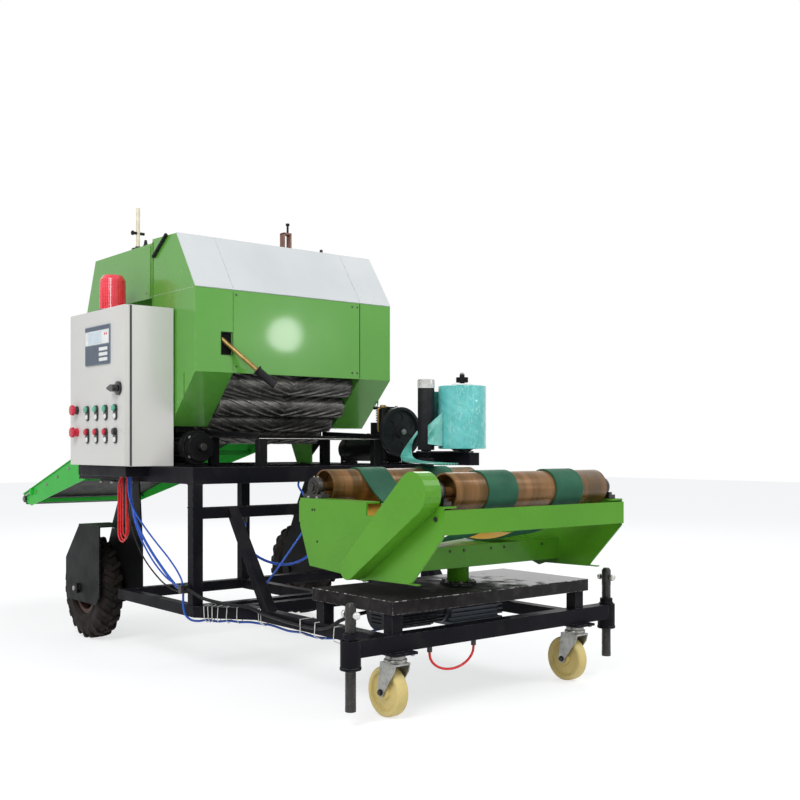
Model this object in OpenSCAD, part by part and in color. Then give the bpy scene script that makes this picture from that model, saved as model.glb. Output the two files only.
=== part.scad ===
// Mini silage round baler and bale wrapper on one wheeled frame.
// +X points from the feed conveyor to the wrapping table, -Y is the side of the control cabinet.
// Places along X count from the datum plane that runs 44 mm behind the front posts' front face.

/* [Main frame] */
// Side of the square tube of posts and rails
tube = 40; // [36:1:46]
// Height of the top frame's upper face
frame_top_z = 728; // [715:1:740]
// Height of the top frame's tube
top_tube_h = 60; // [50:1:65]
// Half width over the frame's outer faces
frame_half_w = 563; // [556:1:568]
// Rear end of the top frame
frame_rear_x = -950; // [-960:1:-940]
// Front face of the front posts
post_front_x = 44; // [40:1:48]
// Underside of the lower rails
rail_z = 200; // [195:1:204]
// Underside of the middle cross beam
mid_beam_z = 545; // [535:1:550]

/* [Road wheels] */
// Radius over the tyre
wheel_r = 213; // [208:1:216]
// Width of the tyre
tyre_w = 100; // [90:1:104]
// Radius of the rim's edge
rim_r = 108; // [104:1:116]
// Wheel centre along X
wheel_x = -890; // [-896:1:-884]
// Wheel centre across
wheel_y = 525; // [523:1:527]
// Radius of the fixed axle
axle_r = 15; // [12:1:17]
// Thickness of the bracket plates
bracket_t = 6; // [5:1:8]
// Radius of the tie hole near the top of each inner bracket plate
tie_hole_r = 8; // [6:1:10]

/* [Wrapper base] */
// Outer half width of the base rails
base_half_w = 420; // [414:1:424]
// Rear face of the base's rear beam
base_rear_x = 110; // [104:1:120]
// Rear face of the front beam
front_beam_x = 940; // [936:1:946]
// Side of the front beam
front_beam = 50; // [46:1:54]
// Half distance between the two jacks
jack_y = 560; // [552:1:566]
// Outer radius of a jack sleeve
sleeve_r = 30; // [27:1:32]
// Radius of a jack screw
jack_r = 16; // [14:1:18]
// Height of the platform's upper face
platform_z = 350; // [346:1:354]
// Rear edge of the platform
platform_rear_x = 585; // [575:1:595]
// Half width of the platform
platform_half_w = 430; // [425:1:435]

/* [Casters] */
// Radius of a caster wheel
caster_r = 75; // [70:1:77]
// Width of a caster wheel
caster_w = 44; // [40:1:46]
// Half distance between the caster swivels
caster_y = 395; // [388:1:400]
// Distance of the wheel centre behind the swivel
caster_trail = 35; // [30:1:40]

/* [Wrapping table] */
// Turning axis of the table along X
table_x = 806; // [802:1:810]
// Half distance between the two roller axes
roller_dx = 298; // [294:1:302]
// Height of the roller axes
roller_z = 669; // [666:1:674]
// Radius of a table roller
roller_r = 57; // [54:1:58]
// Half length of a table roller
roller_half = 328; // [320:1:332]
// Inner face of the table's end plates
end_plate_y = 386; // [384:1:388]
// Thickness of the table's plates
plate_t = 6; // [5:1:7]
// Height of the table's central beam
beam_h = 70; // [64:1:74]
// Width of a flat belt
belt_w = 120; // [110:1:130]
// Middle of a flat belt across
belt_y = 145; // [140:1:150]
// Thickness of a flat belt
belt_t = 5; // [4:1:6]

/* [Bale chamber] */
// Half width over the green covers
cover_half_w = 463; // [458:1:466]
// Half width between the chamber's side plates
chamber_half_w = 301; // [298:1:304]
// Seam between the fixed rear part and the gate
seam_x = -477; // [-480:1:-474]
// Front face of the gate
gate_front_x = -125; // [-130:1:-120]
// Height of the chamber's centre
chamber_z = 1170; // [1166:1:1174]
// Radius of the circle on which the ribbed rollers lie
drum_pitch_r = 290; // [286:1:292]
// Radius of a ribbed roller over its ribs
drum_r = 46; // [42:1:47]
// Height of the roof at the seam
roof_z = 1620; // [1612:1:1626]
// Thickness of the cover sheet
sheet_t = 4; // [3:1:5]

/* [Control cabinet] */
// Width of the cabinet along X
cab_w = 500; // [480:1:506]
// Height of the cabinet
cab_h = 600; // [580:1:620]
// Depth of the cabinet with its door
cab_d = 200; // [190:1:204]
// Rear side of the cabinet along X
cab_x = -780; // [-786:1:-774]
// Thickness of the cabinet door
door_t = 22; // [18:1:26]

/* [Feed conveyor] */
// Middle of the tail pulley along X
conv_tail_x = -2290; // [-2310:1:-2270]
// Middle of the tail pulley above the ground
conv_tail_z = 522; // [512:1:532]
// Slope of the carrying run in degrees
conv_slope = 16.4; // [16:0.1:16.8]

/* [Film stand] */
// Roll centre along X
film_x = 288; // [284:1:292]
// Roll centre across
film_y = 497; // [494:1:500]
// Radius of the film roll
film_r = 96; // [88:1:97]
// Width of the film
film_h = 250; // [240:1:256]
// Underside of the film roll
film_z = 792; // [788:1:798]
// Stretch roller centre along X
stretch_x = 220; // [216:1:222]
// Stretch roller centre across
stretch_y = 367; // [362:1:368]
// Radius of the stretch roller
stretch_r = 33; // [30:1:34]

/* [Hidden] */
$fn = 48;

// Radial running fit, seat of a part at rest, and air round moving parts
fit = 0.05;
seat = 0.3;
air = 5;

// Heights that follow from the frame
rail_top_z = rail_z + tube;
frame_in_w = frame_half_w - tube;
frame_under_z = frame_top_z - top_tube_h;
post_rear_x = post_front_x - tube;

// The rear cross beam stands in front of the road wheels
rear_beam_x = wheel_x + wheel_r + 107;
bracket_in_y = wheel_y - tyre_w / 2 - 15;
bracket_out_y = wheel_y + tyre_w / 2 + 13;
axle_end_y = bracket_out_y + bracket_t + 12;

// The jacks stand on the front beam's middle line
jack_x = front_beam_x + front_beam / 2;
front_beam_top_z = rail_z + front_beam;
platform_front_x = front_beam_x + front_beam + 5;
deck_t = 6;
skirt_h = 34;
skirt_z = platform_z - deck_t - skirt_h;

// The table's motor hangs beside its gearbox
motor_r = 50;
motor_x = table_x + 44;
motor_z = platform_z - deck_t - motor_r - 2;

// The table's beam sits on its post above the platform
post_r = 36;
shaft_r = 20;
ring_h = 8;
beam_z = platform_z + 66;
beam_half = 94;
flange_z = roller_z - 37;
flange_w = 46;
end_front_x = roller_dx + 67;
end_rear_x = -roller_dx - 47;
end_corner_z = flange_z - 87;
rail_h = 70;
roller_shaft_r = 15;
guard_r = 62;
guard_w = 60;
layshaft_z = 430;
layshaft_x = -6;
bearing_y = end_plate_y - 26;

// The chamber's drum of ribbed rollers
plate_y = chamber_half_w + plate_t;
hinge_r = 9;
hinge_z = roof_z + 12;
gate_rear_x = seam_x + 6;
rear_wall_x = seam_x - 534;
cover_low_z = 1388;
cover_foot_z = 880;
drum_step = 20;
gate_drum_angles = [for (i = [0 : 7]) -64 + i * drum_step];
rear_drum_angles = [96, 116, 136, 156, 176, 236, 256];
drum_half = chamber_half_w - 3;
drum_shaft_r = 15;

// Middles of the drum's rollers in side view; the last rear one is carried by the cradle
function drum_at(a) = [seam_x + drum_pitch_r * cos(a), chamber_z + drum_pitch_r * sin(a)];
gate_drum_at = [for (a = gate_drum_angles) drum_at(a)];
rear_drum_at = [for (a = rear_drum_angles) drum_at(a)];
cradle_drum_at = [seam_x + 30, 858];

// The chute carries the bale from the drum to the table
chute_rear_x = seam_x + 97;
chute_front_x = post_front_x - 6;
chute_rear_z = 848;
chute_front_z = 832;
chute_half_w = 292;
mid_tube_x = -350;

// Cabinet and its door
cab_back_y = -max(cover_half_w + 7, frame_half_w - 93);
cab_front_y = cab_back_y - cab_d;
door_back_y = cab_front_y + door_t;
door_hinge_x = cab_x - 8;
cab_top_z = frame_top_z + cab_h;
outlet_y = frame_half_w + 27;
outlet_z = frame_top_z - 28;
knob_out = 34;

// Conveyor
conv_half_w = chamber_half_w - seat;
conv_r = 30;
conv_head_x = seam_x - 383;
conv_head_z = conv_tail_z + (conv_head_x - conv_tail_x) * tan(conv_slope);

// Film stand
arm = 50;
arm_z = frame_top_z;
stand_z = frame_top_z + arm;
stand_t = 6;
spindle_r = 10;

// The origin lies under the middle of the whole machine
x_lo = conv_tail_x - conv_r;
x_hi = table_x + end_front_x + plate_t;
y_lo = cab_front_y - knob_out;
y_hi = axle_end_y;
mid_x = (x_lo + x_hi) / 2;
mid_y = (y_lo + y_hi) / 2;

// Moves the machine's own places to the origin under its middle
module place() translate([-mid_x, -mid_y, 0]) children();

// A box between its lowest and highest corners
module span(lo, hi) translate(lo) cube(hi - lo);

// The same thing on both sides of the machine
module both_sides() {
    children();
    mirror([0, 1, 0]) children();
}

// An outline of [x, z] points, drawn out across the machine from y0 to y1
module across(points, y0, y1)
    translate([0, y1, 0]) rotate([90, 0, 0]) linear_extrude(y1 - y0) polygon(points);

// Round bars along Y, along X and upright
module bar_y(x, z, r, y0, y1) translate([x, y0, z]) rotate([-90, 0, 0]) cylinder(r = r, h = y1 - y0);
module bar_x(y, z, r, x0, x1) translate([x0, y, z]) rotate([0, 90, 0]) cylinder(r = r, h = x1 - x0);
module bar_z(x, y, r, z0, z1) translate([x, y, z0]) cylinder(r = r, h = z1 - z0);

// Points of an arc round centre c, from angle a0 to a1
function arc(c, r, a0, a1, n) =
    [for (i = [0 : n]) let (a = a0 + (a1 - a0) * i / n) [c[0] + r * cos(a), c[1] + r * sin(a)]];

// Outline of two discs and the straight sides that touch both
function two_discs(c1, r1, c2, r2, n = 10) =
    let (
        d = norm(c2 - c1),
        lean = atan2(c2[1] - c1[1], c2[0] - c1[0]),
        open = acos((r1 - r2) / d)
    )
    concat(arc(c1, r1, lean + open, lean + 360 - open, n), arc(c2, r2, lean - open, lean + open, n));

module top_frame() color([0.1, 0.1, 0.12]) place() {
    both_sides()
        span([frame_rear_x, frame_in_w, frame_under_z], [post_front_x, frame_half_w, frame_top_z]);
    for (x = [frame_rear_x, rear_beam_x, mid_tube_x, post_rear_x])
        span([x, -frame_in_w, frame_under_z], [x + tube, frame_in_w, frame_top_z]);
}

module front_posts() color([0.1, 0.1, 0.12]) place() {
    both_sides() span([post_rear_x, frame_in_w, rail_z], [post_front_x, frame_half_w, frame_under_z]);
    for (z = [rail_z, mid_beam_z])
        span([post_rear_x, -frame_in_w, z], [post_front_x, frame_in_w, z + tube]);
}

module lower_frame() color([0.1, 0.1, 0.12]) place() {
    both_sides()
        span([rear_beam_x + tube, frame_in_w, rail_z], [post_rear_x, frame_half_w, rail_top_z]);
    span([rear_beam_x, -frame_half_w, rail_z], [rear_beam_x + tube, frame_half_w, rail_top_z]);
    span([rear_beam_x + tube, -tube / 2, rail_z], [post_rear_x, tube / 2, rail_top_z]);
    span([rear_beam_x, -tube / 2, rail_top_z], [rear_beam_x + tube, tube / 2, frame_under_z]);
}

// Inner and outer plate of one wheel bracket, its shelf, top flange and fixed axle
module wheel_bracket() {
    top_front_x = rear_beam_x - 28;
    shelf_z = 2 * wheel_r + 49;
    difference() {
        across([
            [top_front_x - 141, frame_under_z], [top_front_x, frame_under_z],
            [rear_beam_x, rail_z + 200], [rear_beam_x, rail_z],
            [wheel_x + 60, rail_z - 60], [wheel_x - 50, wheel_r - 40],
            [wheel_x - 60, wheel_r + 60], [wheel_x + 42, shelf_z - 5], [wheel_x + 42, shelf_z + 6],
        ], bracket_in_y - bracket_t, bracket_in_y);
        bar_y(top_front_x - 70, frame_under_z - 40, tie_hole_r, bracket_in_y - bracket_t - 1, bracket_in_y + 1);
    }
    span([top_front_x - 141, bracket_in_y, frame_under_z - bracket_t],
        [top_front_x, frame_half_w, frame_under_z]);
    span([wheel_x + 10, bracket_in_y, shelf_z], [wheel_x + 212, bracket_out_y + bracket_t, shelf_z + bracket_t]);
    across([
        [wheel_x - 126, wheel_r - 20], [wheel_x - 100, 160], [wheel_x + 180, 160],
        [wheel_x + 212, 200], [wheel_x + 212, shelf_z], [wheel_x + 10, shelf_z], [wheel_x - 126, wheel_r + 120],
    ], bracket_out_y, bracket_out_y + bracket_t);
    bar_y(wheel_x, wheel_r, axle_r, bracket_in_y - bracket_t - 8, axle_end_y - 2);
    translate([wheel_x, axle_end_y, wheel_r]) rotate([90, 0, 0]) cylinder(r = axle_r + 8, h = 12, $fn = 6);
}

module wheel_brackets() color([0.12, 0.12, 0.14]) place() both_sides() wheel_bracket();

// Tyre about its own axis Z, with a rounded crown over straight sides
module tyre() {
    half = tyre_w / 2;
    crown = wheel_r - 11;
    rotate_extrude($fn = 96) polygon([
        [rim_r, -half + 14], [rim_r + 18, -half + 4], [rim_r + 44, -half],
        [crown - 22, -half + 2], [crown - 6, -half + 12], [crown, -half + 26],
        [crown + 3, 0],
        [crown, half - 26], [crown - 6, half - 12], [crown - 22, half - 2],
        [rim_r + 44, half], [rim_r + 18, half - 4], [rim_r, half - 14],
    ]);
    lugs = 18;
    lug_w = 34;
    lug_end = half - 6;
    lug_root = crown - 30;
    lug_top = sqrt(pow(wheel_r, 2) - pow(lug_w / 2, 2));
    for (i = [0 : lugs - 1], side = [0, 1])
        rotate((i + side / 2) * 360 / lugs)
            translate([lug_root, -lug_w / 2, side ? -3 : -lug_end])
                cube([lug_top - lug_root, lug_w, lug_end + 3]);
}

module rim() {
    half = tyre_w / 2;
    difference() {
        union() {
            rotate_extrude($fn = 96) polygon([
                [rim_r - 16, -half + 16], [rim_r - fit, -half + 16], [rim_r - fit, half - 16],
                [rim_r - 16, half - 16], [rim_r - 22, 12], [rim_r - 22, -12],
            ]);
            cylinder(r = rim_r - 18, h = 6, center = true);
            cylinder(r = 34, h = tyre_w + 4, center = true);
        }
        cylinder(r = axle_r + fit, h = 2 * tyre_w, center = true);
        for (i = [0 : 4]) rotate(i * 72) translate([62, 0, 0]) cylinder(r = 12, h = 20, center = true);
    }
}

module at_wheel(side) place() translate([wheel_x, side * wheel_y, wheel_r]) rotate([90, 0, 0]) children();
module tyre_near() color([0.13, 0.11, 0.11]) at_wheel(-1) tyre();
module rim_near() color([0.2, 0.15, 0.13]) at_wheel(-1) rim();
module tyre_far() color([0.13, 0.11, 0.11]) at_wheel(1) tyre();
module rim_far() color([0.2, 0.15, 0.13]) at_wheel(1) rim();

module wrapper_base() color([0.1, 0.1, 0.12]) place() difference() {
    union() {
        span([base_rear_x, -base_half_w, rail_z], [base_rear_x + tube, base_half_w, rail_top_z]);
        both_sides() {
            span([base_rear_x + tube, base_half_w - tube, rail_z], [front_beam_x, base_half_w, rail_top_z]);
            bar_z(jack_x, jack_y, sleeve_r, rail_z - 35, front_beam_top_z);
            bar_z(jack_x, jack_y, jack_r + 6, front_beam_top_z, front_beam_top_z + 20);
            span([jack_x - 50, caster_y - 45, rail_z - 8], [jack_x + 50, caster_y + 45, rail_z]);
            span([platform_rear_x + 10, base_half_w - tube, rail_top_z],
                [platform_rear_x + 10 + tube, base_half_w, skirt_z]);
            span([front_beam_x, base_half_w - tube, front_beam_top_z],
                [front_beam_x + tube, base_half_w, skirt_z]);
        }
        span([front_beam_x, -jack_y, rail_z], [front_beam_x + front_beam, jack_y, front_beam_top_z]);
    }
    both_sides() {
        bar_z(jack_x, jack_y, jack_r + fit, 0, platform_z);
        bar_z(jack_x, caster_y, 8 + fit, rail_z - 20, rail_z + 10);
    }
}

// Foot diagonals in plan and raking braces in side view, the same on both sides
module link_tubes() color([0.1, 0.1, 0.12]) place() both_sides() {
    rake = tube * 1.1;
    translate([0, 0, rail_z]) linear_extrude(tube) polygon([
        [post_front_x, frame_half_w], [post_front_x, frame_in_w - 10],
        [base_rear_x + tube + 15, base_half_w], [base_rear_x + tube + 80, base_half_w],
    ]);
    across([
        [post_front_x, mid_beam_z + tube], [post_front_x, mid_beam_z],
        [base_rear_x + tube + 110, rail_top_z], [base_rear_x + tube + 110 + rake, rail_top_z],
    ], base_half_w - tube, base_half_w);
}

module platform() color([0.16, 0.16, 0.17]) place() difference() {
    union() {
        span([platform_rear_x, -platform_half_w, platform_z - deck_t],
            [platform_front_x, platform_half_w, platform_z]);
        difference() {
            span([platform_rear_x, -platform_half_w, skirt_z],
                [platform_front_x, platform_half_w, platform_z - deck_t]);
            span([platform_rear_x + 30, 30 - platform_half_w, skirt_z - 1],
                [platform_front_x - 30, platform_half_w - 30, platform_z]);
        }
        bar_z(table_x, 0, 60, platform_z, platform_z + ring_h);
        for (i = [0 : 5]) translate([table_x, 0, platform_z]) rotate(i * 60)
            translate([50, 0, 0]) cylinder(r = 6, h = ring_h + 5, $fn = 6);
    }
    bar_z(table_x, 0, shaft_r + fit, 0, platform_z + 2 * ring_h);
}

// Worm gearbox hung under the platform, with flat cooling fins all round
module gearbox() color([0.35, 0.36, 0.38]) place() difference() {
    box_x = 80;
    box_y = 104;
    low_z = rail_z + 32;
    union() {
        span([table_x - box_x, -box_y, low_z], [table_x + box_x, box_y, platform_z - deck_t]);
        for (z = [low_z + 8 : 14 : skirt_z])
            span([table_x - box_x - 14, -box_y - 8, z], [table_x + box_x + 14, box_y + 8, z + 5]);
    }
    bar_z(table_x, 0, shaft_r + fit, low_z + 20, platform_z);
}

module table_motor() color([0.22, 0.23, 0.25]) place() {
    bar_y(motor_x, motor_z, motor_r, -134, -112);
    bar_y(motor_x, motor_z, motor_r - 8, -330, -134);
    bar_y(motor_x, motor_z, motor_r, -min(base_half_w - tube, platform_half_w - 50) + 4, -330);
    for (i = [0 : 17]) translate([motor_x, -134, motor_z]) rotate([90, i * 20, 0])
        translate([motor_r - 9, -1.5, 0]) cube([8, 3, 196]);
}

// Jack screw with its cross pin; foot is the height of its lower end
module jack(side, foot, colour) color(colour) place() translate([jack_x, side * jack_y, foot]) {
    length = 300;
    cylinder(r = jack_r, h = length);
    translate([0, 0, length]) cylinder(r1 = jack_r, r2 = jack_r - 6, h = 9, $fn = 24);
    rotate([0, 90, 0]) translate([24 - length, 0, -28]) cylinder(r = 6, h = 56);
    for (end = [-34, 22]) translate([end, 0, length - 24]) rotate([0, 90, 0]) cylinder(r = 11, h = 12);
}

module jack_near() jack(-1, 46, [0.12, 0.12, 0.13]);
module jack_far() jack(1, 67, [0.12, 0.12, 0.13]);

module caster_fork(side) color([0.6, 0.6, 0.6]) place() translate([jack_x, side * caster_y, 0]) {
    crown_z = 2 * caster_r + 10;
    plate_z = rail_z - 8;
    cheek = caster_w / 2 + 3;
    raceway_top_z = plate_z - seat;
    translate([0, 0, crown_z]) cylinder(r = 30, h = raceway_top_z - crown_z);
    translate([0, 0, crown_z]) cylinder(r = 8, h = rail_z - crown_z);
    span([-38, -cheek - 4, crown_z], [34, cheek + 4, crown_z + 6]);
    both_sides() {
        across([
            [-38, crown_z + 1], [34, crown_z + 1], [28, crown_z - 20],
            [14 - caster_trail, caster_r], [-14 - caster_trail, caster_r],
        ], cheek, cheek + 4);
        bar_y(-caster_trail, caster_r, 14, cheek, cheek + 4);
    }
    bar_y(-caster_trail, caster_r, 6, -cheek - 10, cheek + 10);
}

module caster_wheel(side) color([0.8, 0.7, 0.42]) place()
    translate([jack_x - caster_trail, side * caster_y, caster_r]) rotate([90, 0, 0]) difference() {
        half = caster_w / 2;
        rotate_extrude($fn = 72) polygon([
            [0, -half], [24, -half], [28, -half + 6], [caster_r - 22, -half + 6], [caster_r - 18, -half + 1],
            [caster_r - 5, -half + 1], [caster_r, -half + 7],
            [caster_r, half - 7], [caster_r - 5, half - 1],
            [caster_r - 18, half - 1], [caster_r - 22, half - 6], [28, half - 6], [24, half], [0, half],
        ]);
        cylinder(r = 6 + fit, h = 2 * caster_w, center = true);
    }

module caster_fork_near() caster_fork(-1);
module caster_fork_far() caster_fork(1);
module caster_wheel_near() caster_wheel(-1);
module caster_wheel_far() caster_wheel(1);

// The table's own frame: x counts from its turning axis
module at_table() place() translate([table_x, 0, 0]) children();

// Outline of an end plate, from its front top corner round by the foot
end_outline = [
    [end_front_x, flange_z], [end_front_x, end_corner_z], [225, beam_z - 16], [30, beam_z - 20],
    [0, beam_z - 30], [-30, beam_z - 20], [end_rear_x + 55, beam_z - 4],
    [end_rear_x, end_corner_z - 5], [end_rear_x, flange_z],
];

module end_plate(notched) {
    difference() {
        across(end_outline, end_plate_y, end_plate_y + plate_t);
        if (notched)
            span([13, end_plate_y - 1, flange_z - 41], [87, end_plate_y + plate_t + 1, flange_z + 1]);
        bar_y(layshaft_x, layshaft_z - 14, 9 + fit, end_plate_y - 1, end_plate_y + plate_t + 1);
    }
    for (x = [[end_rear_x, notched ? 13 : end_front_x], [87, end_front_x]])
        span([x[0], end_plate_y - flange_w, flange_z - plate_t], [x[1], end_plate_y, flange_z]);
}

module table_frame() color([0.36, 0.68, 0.2]) at_table() {
    post_foot_z = platform_z + ring_h + seat;
    bar_z(0, 0, post_r, post_foot_z, beam_z);
    bar_z(0, 0, shaft_r, rail_z + 60, post_foot_z);
    span([-beam_half, -end_plate_y, beam_z], [beam_half, end_plate_y, beam_z + beam_h]);
    end_plate(false);
    mirror([0, 1, 0]) end_plate(true);
    for (x = [end_front_x, end_rear_x - plate_t])
        span([x, -end_plate_y - plate_t, flange_z - 10 - rail_h], [x + plate_t, end_plate_y + plate_t, flange_z - 10]);
}

// Cover of the chain drive on the near end plate, and the layshaft's nose under it
module chain_guard() color([0.4, 0.72, 0.22]) at_table() {
    guard_y = -end_plate_y - plate_t;
    outline = two_discs([roller_dx, roller_z], guard_r, [layshaft_x, layshaft_z], 34, 12);
    across(outline, guard_y - guard_w, guard_y);
}

// Pillow blocks of both rollers, on the flanges of both end plates
module table_bearings() color([0.3, 0.31, 0.33]) at_table()
    for (x = [-roller_dx, roller_dx]) both_sides() difference() {
        union() {
            span([x - 52, bearing_y - 15, flange_z], [x + 52, bearing_y + 15, flange_z + 13]);
            bar_y(x, roller_z, 31, bearing_y - 13, bearing_y + 13);
            bar_y(x, roller_z, 23, bearing_y - 18, bearing_y + 18);
            for (end = [-40, 40]) translate([x + end, bearing_y, flange_z + 13])
                cylinder(r = 9, h = 8, $fn = 6);
        }
        bar_y(x, roller_z, roller_shaft_r + fit, bearing_y - 30, bearing_y + 30);
    }

module table_roller(x) color([0.6, 0.42, 0.26]) at_table() {
    wall = 5;
    recess = 44;
    difference() {
        bar_y(x, roller_z, roller_r, -roller_half, roller_half);
        both_sides() bar_y(x, roller_z, roller_r - wall, roller_half - recess, roller_half + 1);
    }
    bar_y(x, roller_z, roller_shaft_r, -end_plate_y + 4, end_plate_y - 4);
}

module roller_front() table_roller(roller_dx);
module roller_rear() table_roller(-roller_dx);

// Closed side view of a slack belt: lean_top and lean_low say where it leaves the rollers
function belt_loop(r, lean_top, lean_low, n = 8) =
    let (
        low = arc([roller_dx, roller_z], r, lean_low - 90, 90 + lean_top, 12),
        xt = roller_dx - r * sin(lean_top),
        zt = roller_z + r * cos(lean_top),
        xb = roller_dx + r * sin(lean_low),
        zb = roller_z - r * cos(lean_low),
        top = [for (i = [1 : n - 1]) let (x = xt * (1 - 2 * i / n))
            [x, zt - tan(lean_top) * (xt * xt - x * x) / (2 * xt)]],
        left = [for (i = [12 : -1 : 0]) [-low[i][0], low[i][1]]],
        bottom = [for (i = [1 : n - 1]) let (x = xb * (2 * i / n - 1))
            [x, zb - tan(lean_low) * (xb * xb - x * x) / (2 * xb)]]
    )
    concat(low, top, left, bottom);

module table_belts() color([0.2, 0.45, 0.34]) at_table() {
    step = (180 + 40 - 30) / 12;
    inner_r = (roller_r + seat) / cos(step / 2) + 0.1;
    for (y = [-belt_y, belt_y]) difference() {
        across(belt_loop(inner_r + belt_t, 40, 30), y - belt_w / 2, y + belt_w / 2);
        across(belt_loop(inner_r, 40, 30), y - belt_w / 2 - 1, y + belt_w / 2 + 1);
    }
}

// Places on the green covers, in side view
peak_x = seam_x + 204;
peak_z = roof_z - 5;
front_top_z = 1395;
front_low_z = 1081;
lever_z = 1190;
cheek_foot_x = seam_x + 155;
rear_roof_z = roof_z - 15;
gate_outline = [
    [gate_rear_x, roof_z], [peak_x, peak_z], [gate_front_x, front_top_z],
    [gate_front_x, front_low_z], [cheek_foot_x, cover_foot_z], [gate_rear_x, cover_foot_z],
];
rear_outline = [
    [rear_wall_x, rear_roof_z], [seam_x, rear_roof_z], [seam_x, cover_low_z],
    [rear_wall_x - 92, cover_low_z],
];

function unit(v) = v / norm(v);

// A clockwise outline moved inwards by t
function inset(p, t) =
    [for (i = [0 : len(p) - 1]) let (
        m = len(p),
        u = unit(p[i] - p[(i + m - 1) % m]),
        v = unit(p[(i + 1) % m] - p[i]),
        nu = [u[1], -u[0]],
        nv = [v[1], -v[0]]
    ) p[i] + t * (nu + nv) / (1 + nu * nv)];

// A ribbed roller of the drum with its shaft, lying along Y with its middle at p
module drum_roller(p) {
    ribs = 12;
    root_r = drum_r - 6;
    step = 360 / ribs;
    across([for (i = [0 : ribs - 1], k = [[0, root_r], [0.25, drum_r], [0.5, drum_r], [0.75, root_r]])
        p + k[1] * [cos((i + k[0]) * step), sin((i + k[0]) * step)]], -drum_half, drum_half);
    bar_y(p[0], p[1], drum_shaft_r, -plate_y - 4, plate_y + 4);
}

module rear_drum() color([0.2, 0.2, 0.2]) place()
    for (p = concat(rear_drum_at, [cradle_drum_at])) drum_roller(p);
module gate_drum() color([0.2, 0.2, 0.2]) place() for (p = gate_drum_at) drum_roller(p);

module chamber_rear() color([0.42, 0.7, 0.32]) place() {
    inner = inset(rear_outline, sheet_t);
    difference() {
        across(rear_outline, -cover_half_w, cover_half_w);
        across([
            inner[0], [seam_x + 1, rear_roof_z - sheet_t], [seam_x + 1, cover_low_z - 1],
            [inner[3][0] + 1, cover_low_z - 1],
        ], sheet_t - cover_half_w, cover_half_w - sheet_t);
    }
    both_sides() difference() {
        across([
            inner[0], [seam_x, rear_roof_z - sheet_t], [seam_x, frame_top_z], [rear_beam_x - 20, frame_top_z],
            [rear_beam_x - 80, cover_foot_z - 40], [conv_head_x - 60, frame_top_z + 70],
            [rear_wall_x, cover_foot_z + 40], [rear_wall_x - 82, cover_low_z],
        ], chamber_half_w, plate_y);
        for (p = rear_drum_at) bar_y(p[0], p[1], drum_shaft_r + fit, chamber_half_w - 1, plate_y + 1);
    }
    across([
        [rear_wall_x - 86, cover_low_z], [rear_wall_x - 82, cover_low_z],
        [rear_wall_x - 44, cover_foot_z + 290], [rear_wall_x - 48, cover_foot_z + 290],
    ], -chamber_half_w, chamber_half_w);
    both_sides() {
        bar_y(seam_x, hinge_z, hinge_r, 300, 400);
        span([seam_x - hinge_r, 300, rear_roof_z], [seam_x, 400, hinge_z]);
    }
    bar_y(seam_x, hinge_z, 4, -400, 400);
}

module gate_shell() color([0.42, 0.7, 0.32]) place() {
    inner = inset(gate_outline, sheet_t);
    difference() {
        across(gate_outline, -cover_half_w, cover_half_w);
        across([
            [gate_rear_x - 1, inner[0][1]], inner[1], inner[2], inner[3], inner[4], [gate_rear_x - 1, inner[5][1]],
        ], sheet_t - cover_half_w, cover_half_w - sheet_t);
        across([
            [gate_front_x + 1, front_low_z], [gate_front_x + 1, cover_foot_z - 1],
            [gate_rear_x - 1, cover_foot_z - 1], [gate_rear_x - 1, cover_foot_z + 20],
            [cheek_foot_x, cover_foot_z + 20], [gate_front_x - 20, front_low_z],
        ], -chamber_half_w, chamber_half_w);
        span([gate_front_x - 20, -plate_y - 45, lever_z - 40], [gate_front_x + 1, -plate_y - 1, lever_z + 42]);
    }
    span([gate_front_x - 40, -plate_y - 63, lever_z + 6], [gate_front_x - 24.3, -plate_y, lever_z + 50]);
    both_sides() {
        difference() {
            across(inner, chamber_half_w, plate_y);
            for (p = gate_drum_at) bar_y(p[0], p[1], drum_shaft_r + fit, chamber_half_w - 1, plate_y + 1);
        }
        difference() {
            union() {
                bar_y(seam_x, hinge_z, hinge_r, 190, 290);
                span([gate_rear_x, 190, roof_z - 6], [gate_rear_x + 12, 290, hinge_z - 2]);
            }
            bar_y(seam_x, hinge_z, 4 + fit, 180, 295);
        }
    }
}

// The pale panel that lies on the gate's sloping front
module gate_top() color([0.86, 0.86, 0.86]) place() {
    run = [gate_front_x, front_top_z] - [peak_x, peak_z];
    out = 4 * unit([-run[1], run[0]]);
    across([
        [peak_x, peak_z], [gate_front_x, front_top_z],
        [gate_front_x, front_top_z] + out, [peak_x, peak_z] + out,
    ], -cover_half_w, cover_half_w);
}

// Tie lever: a brass tube with a rubber grip that comes out of the slot in the gate
module gate_lever() color([0.7, 0.58, 0.3]) place()
    translate([gate_front_x, -plate_y - 20, lever_z]) rotate([0, 131, 59]) {
        translate([0, 0, -40]) cylinder(r = 9, h = 200);
        translate([0, 0, 150]) cylinder(r = 14, h = 90);
    }

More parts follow.
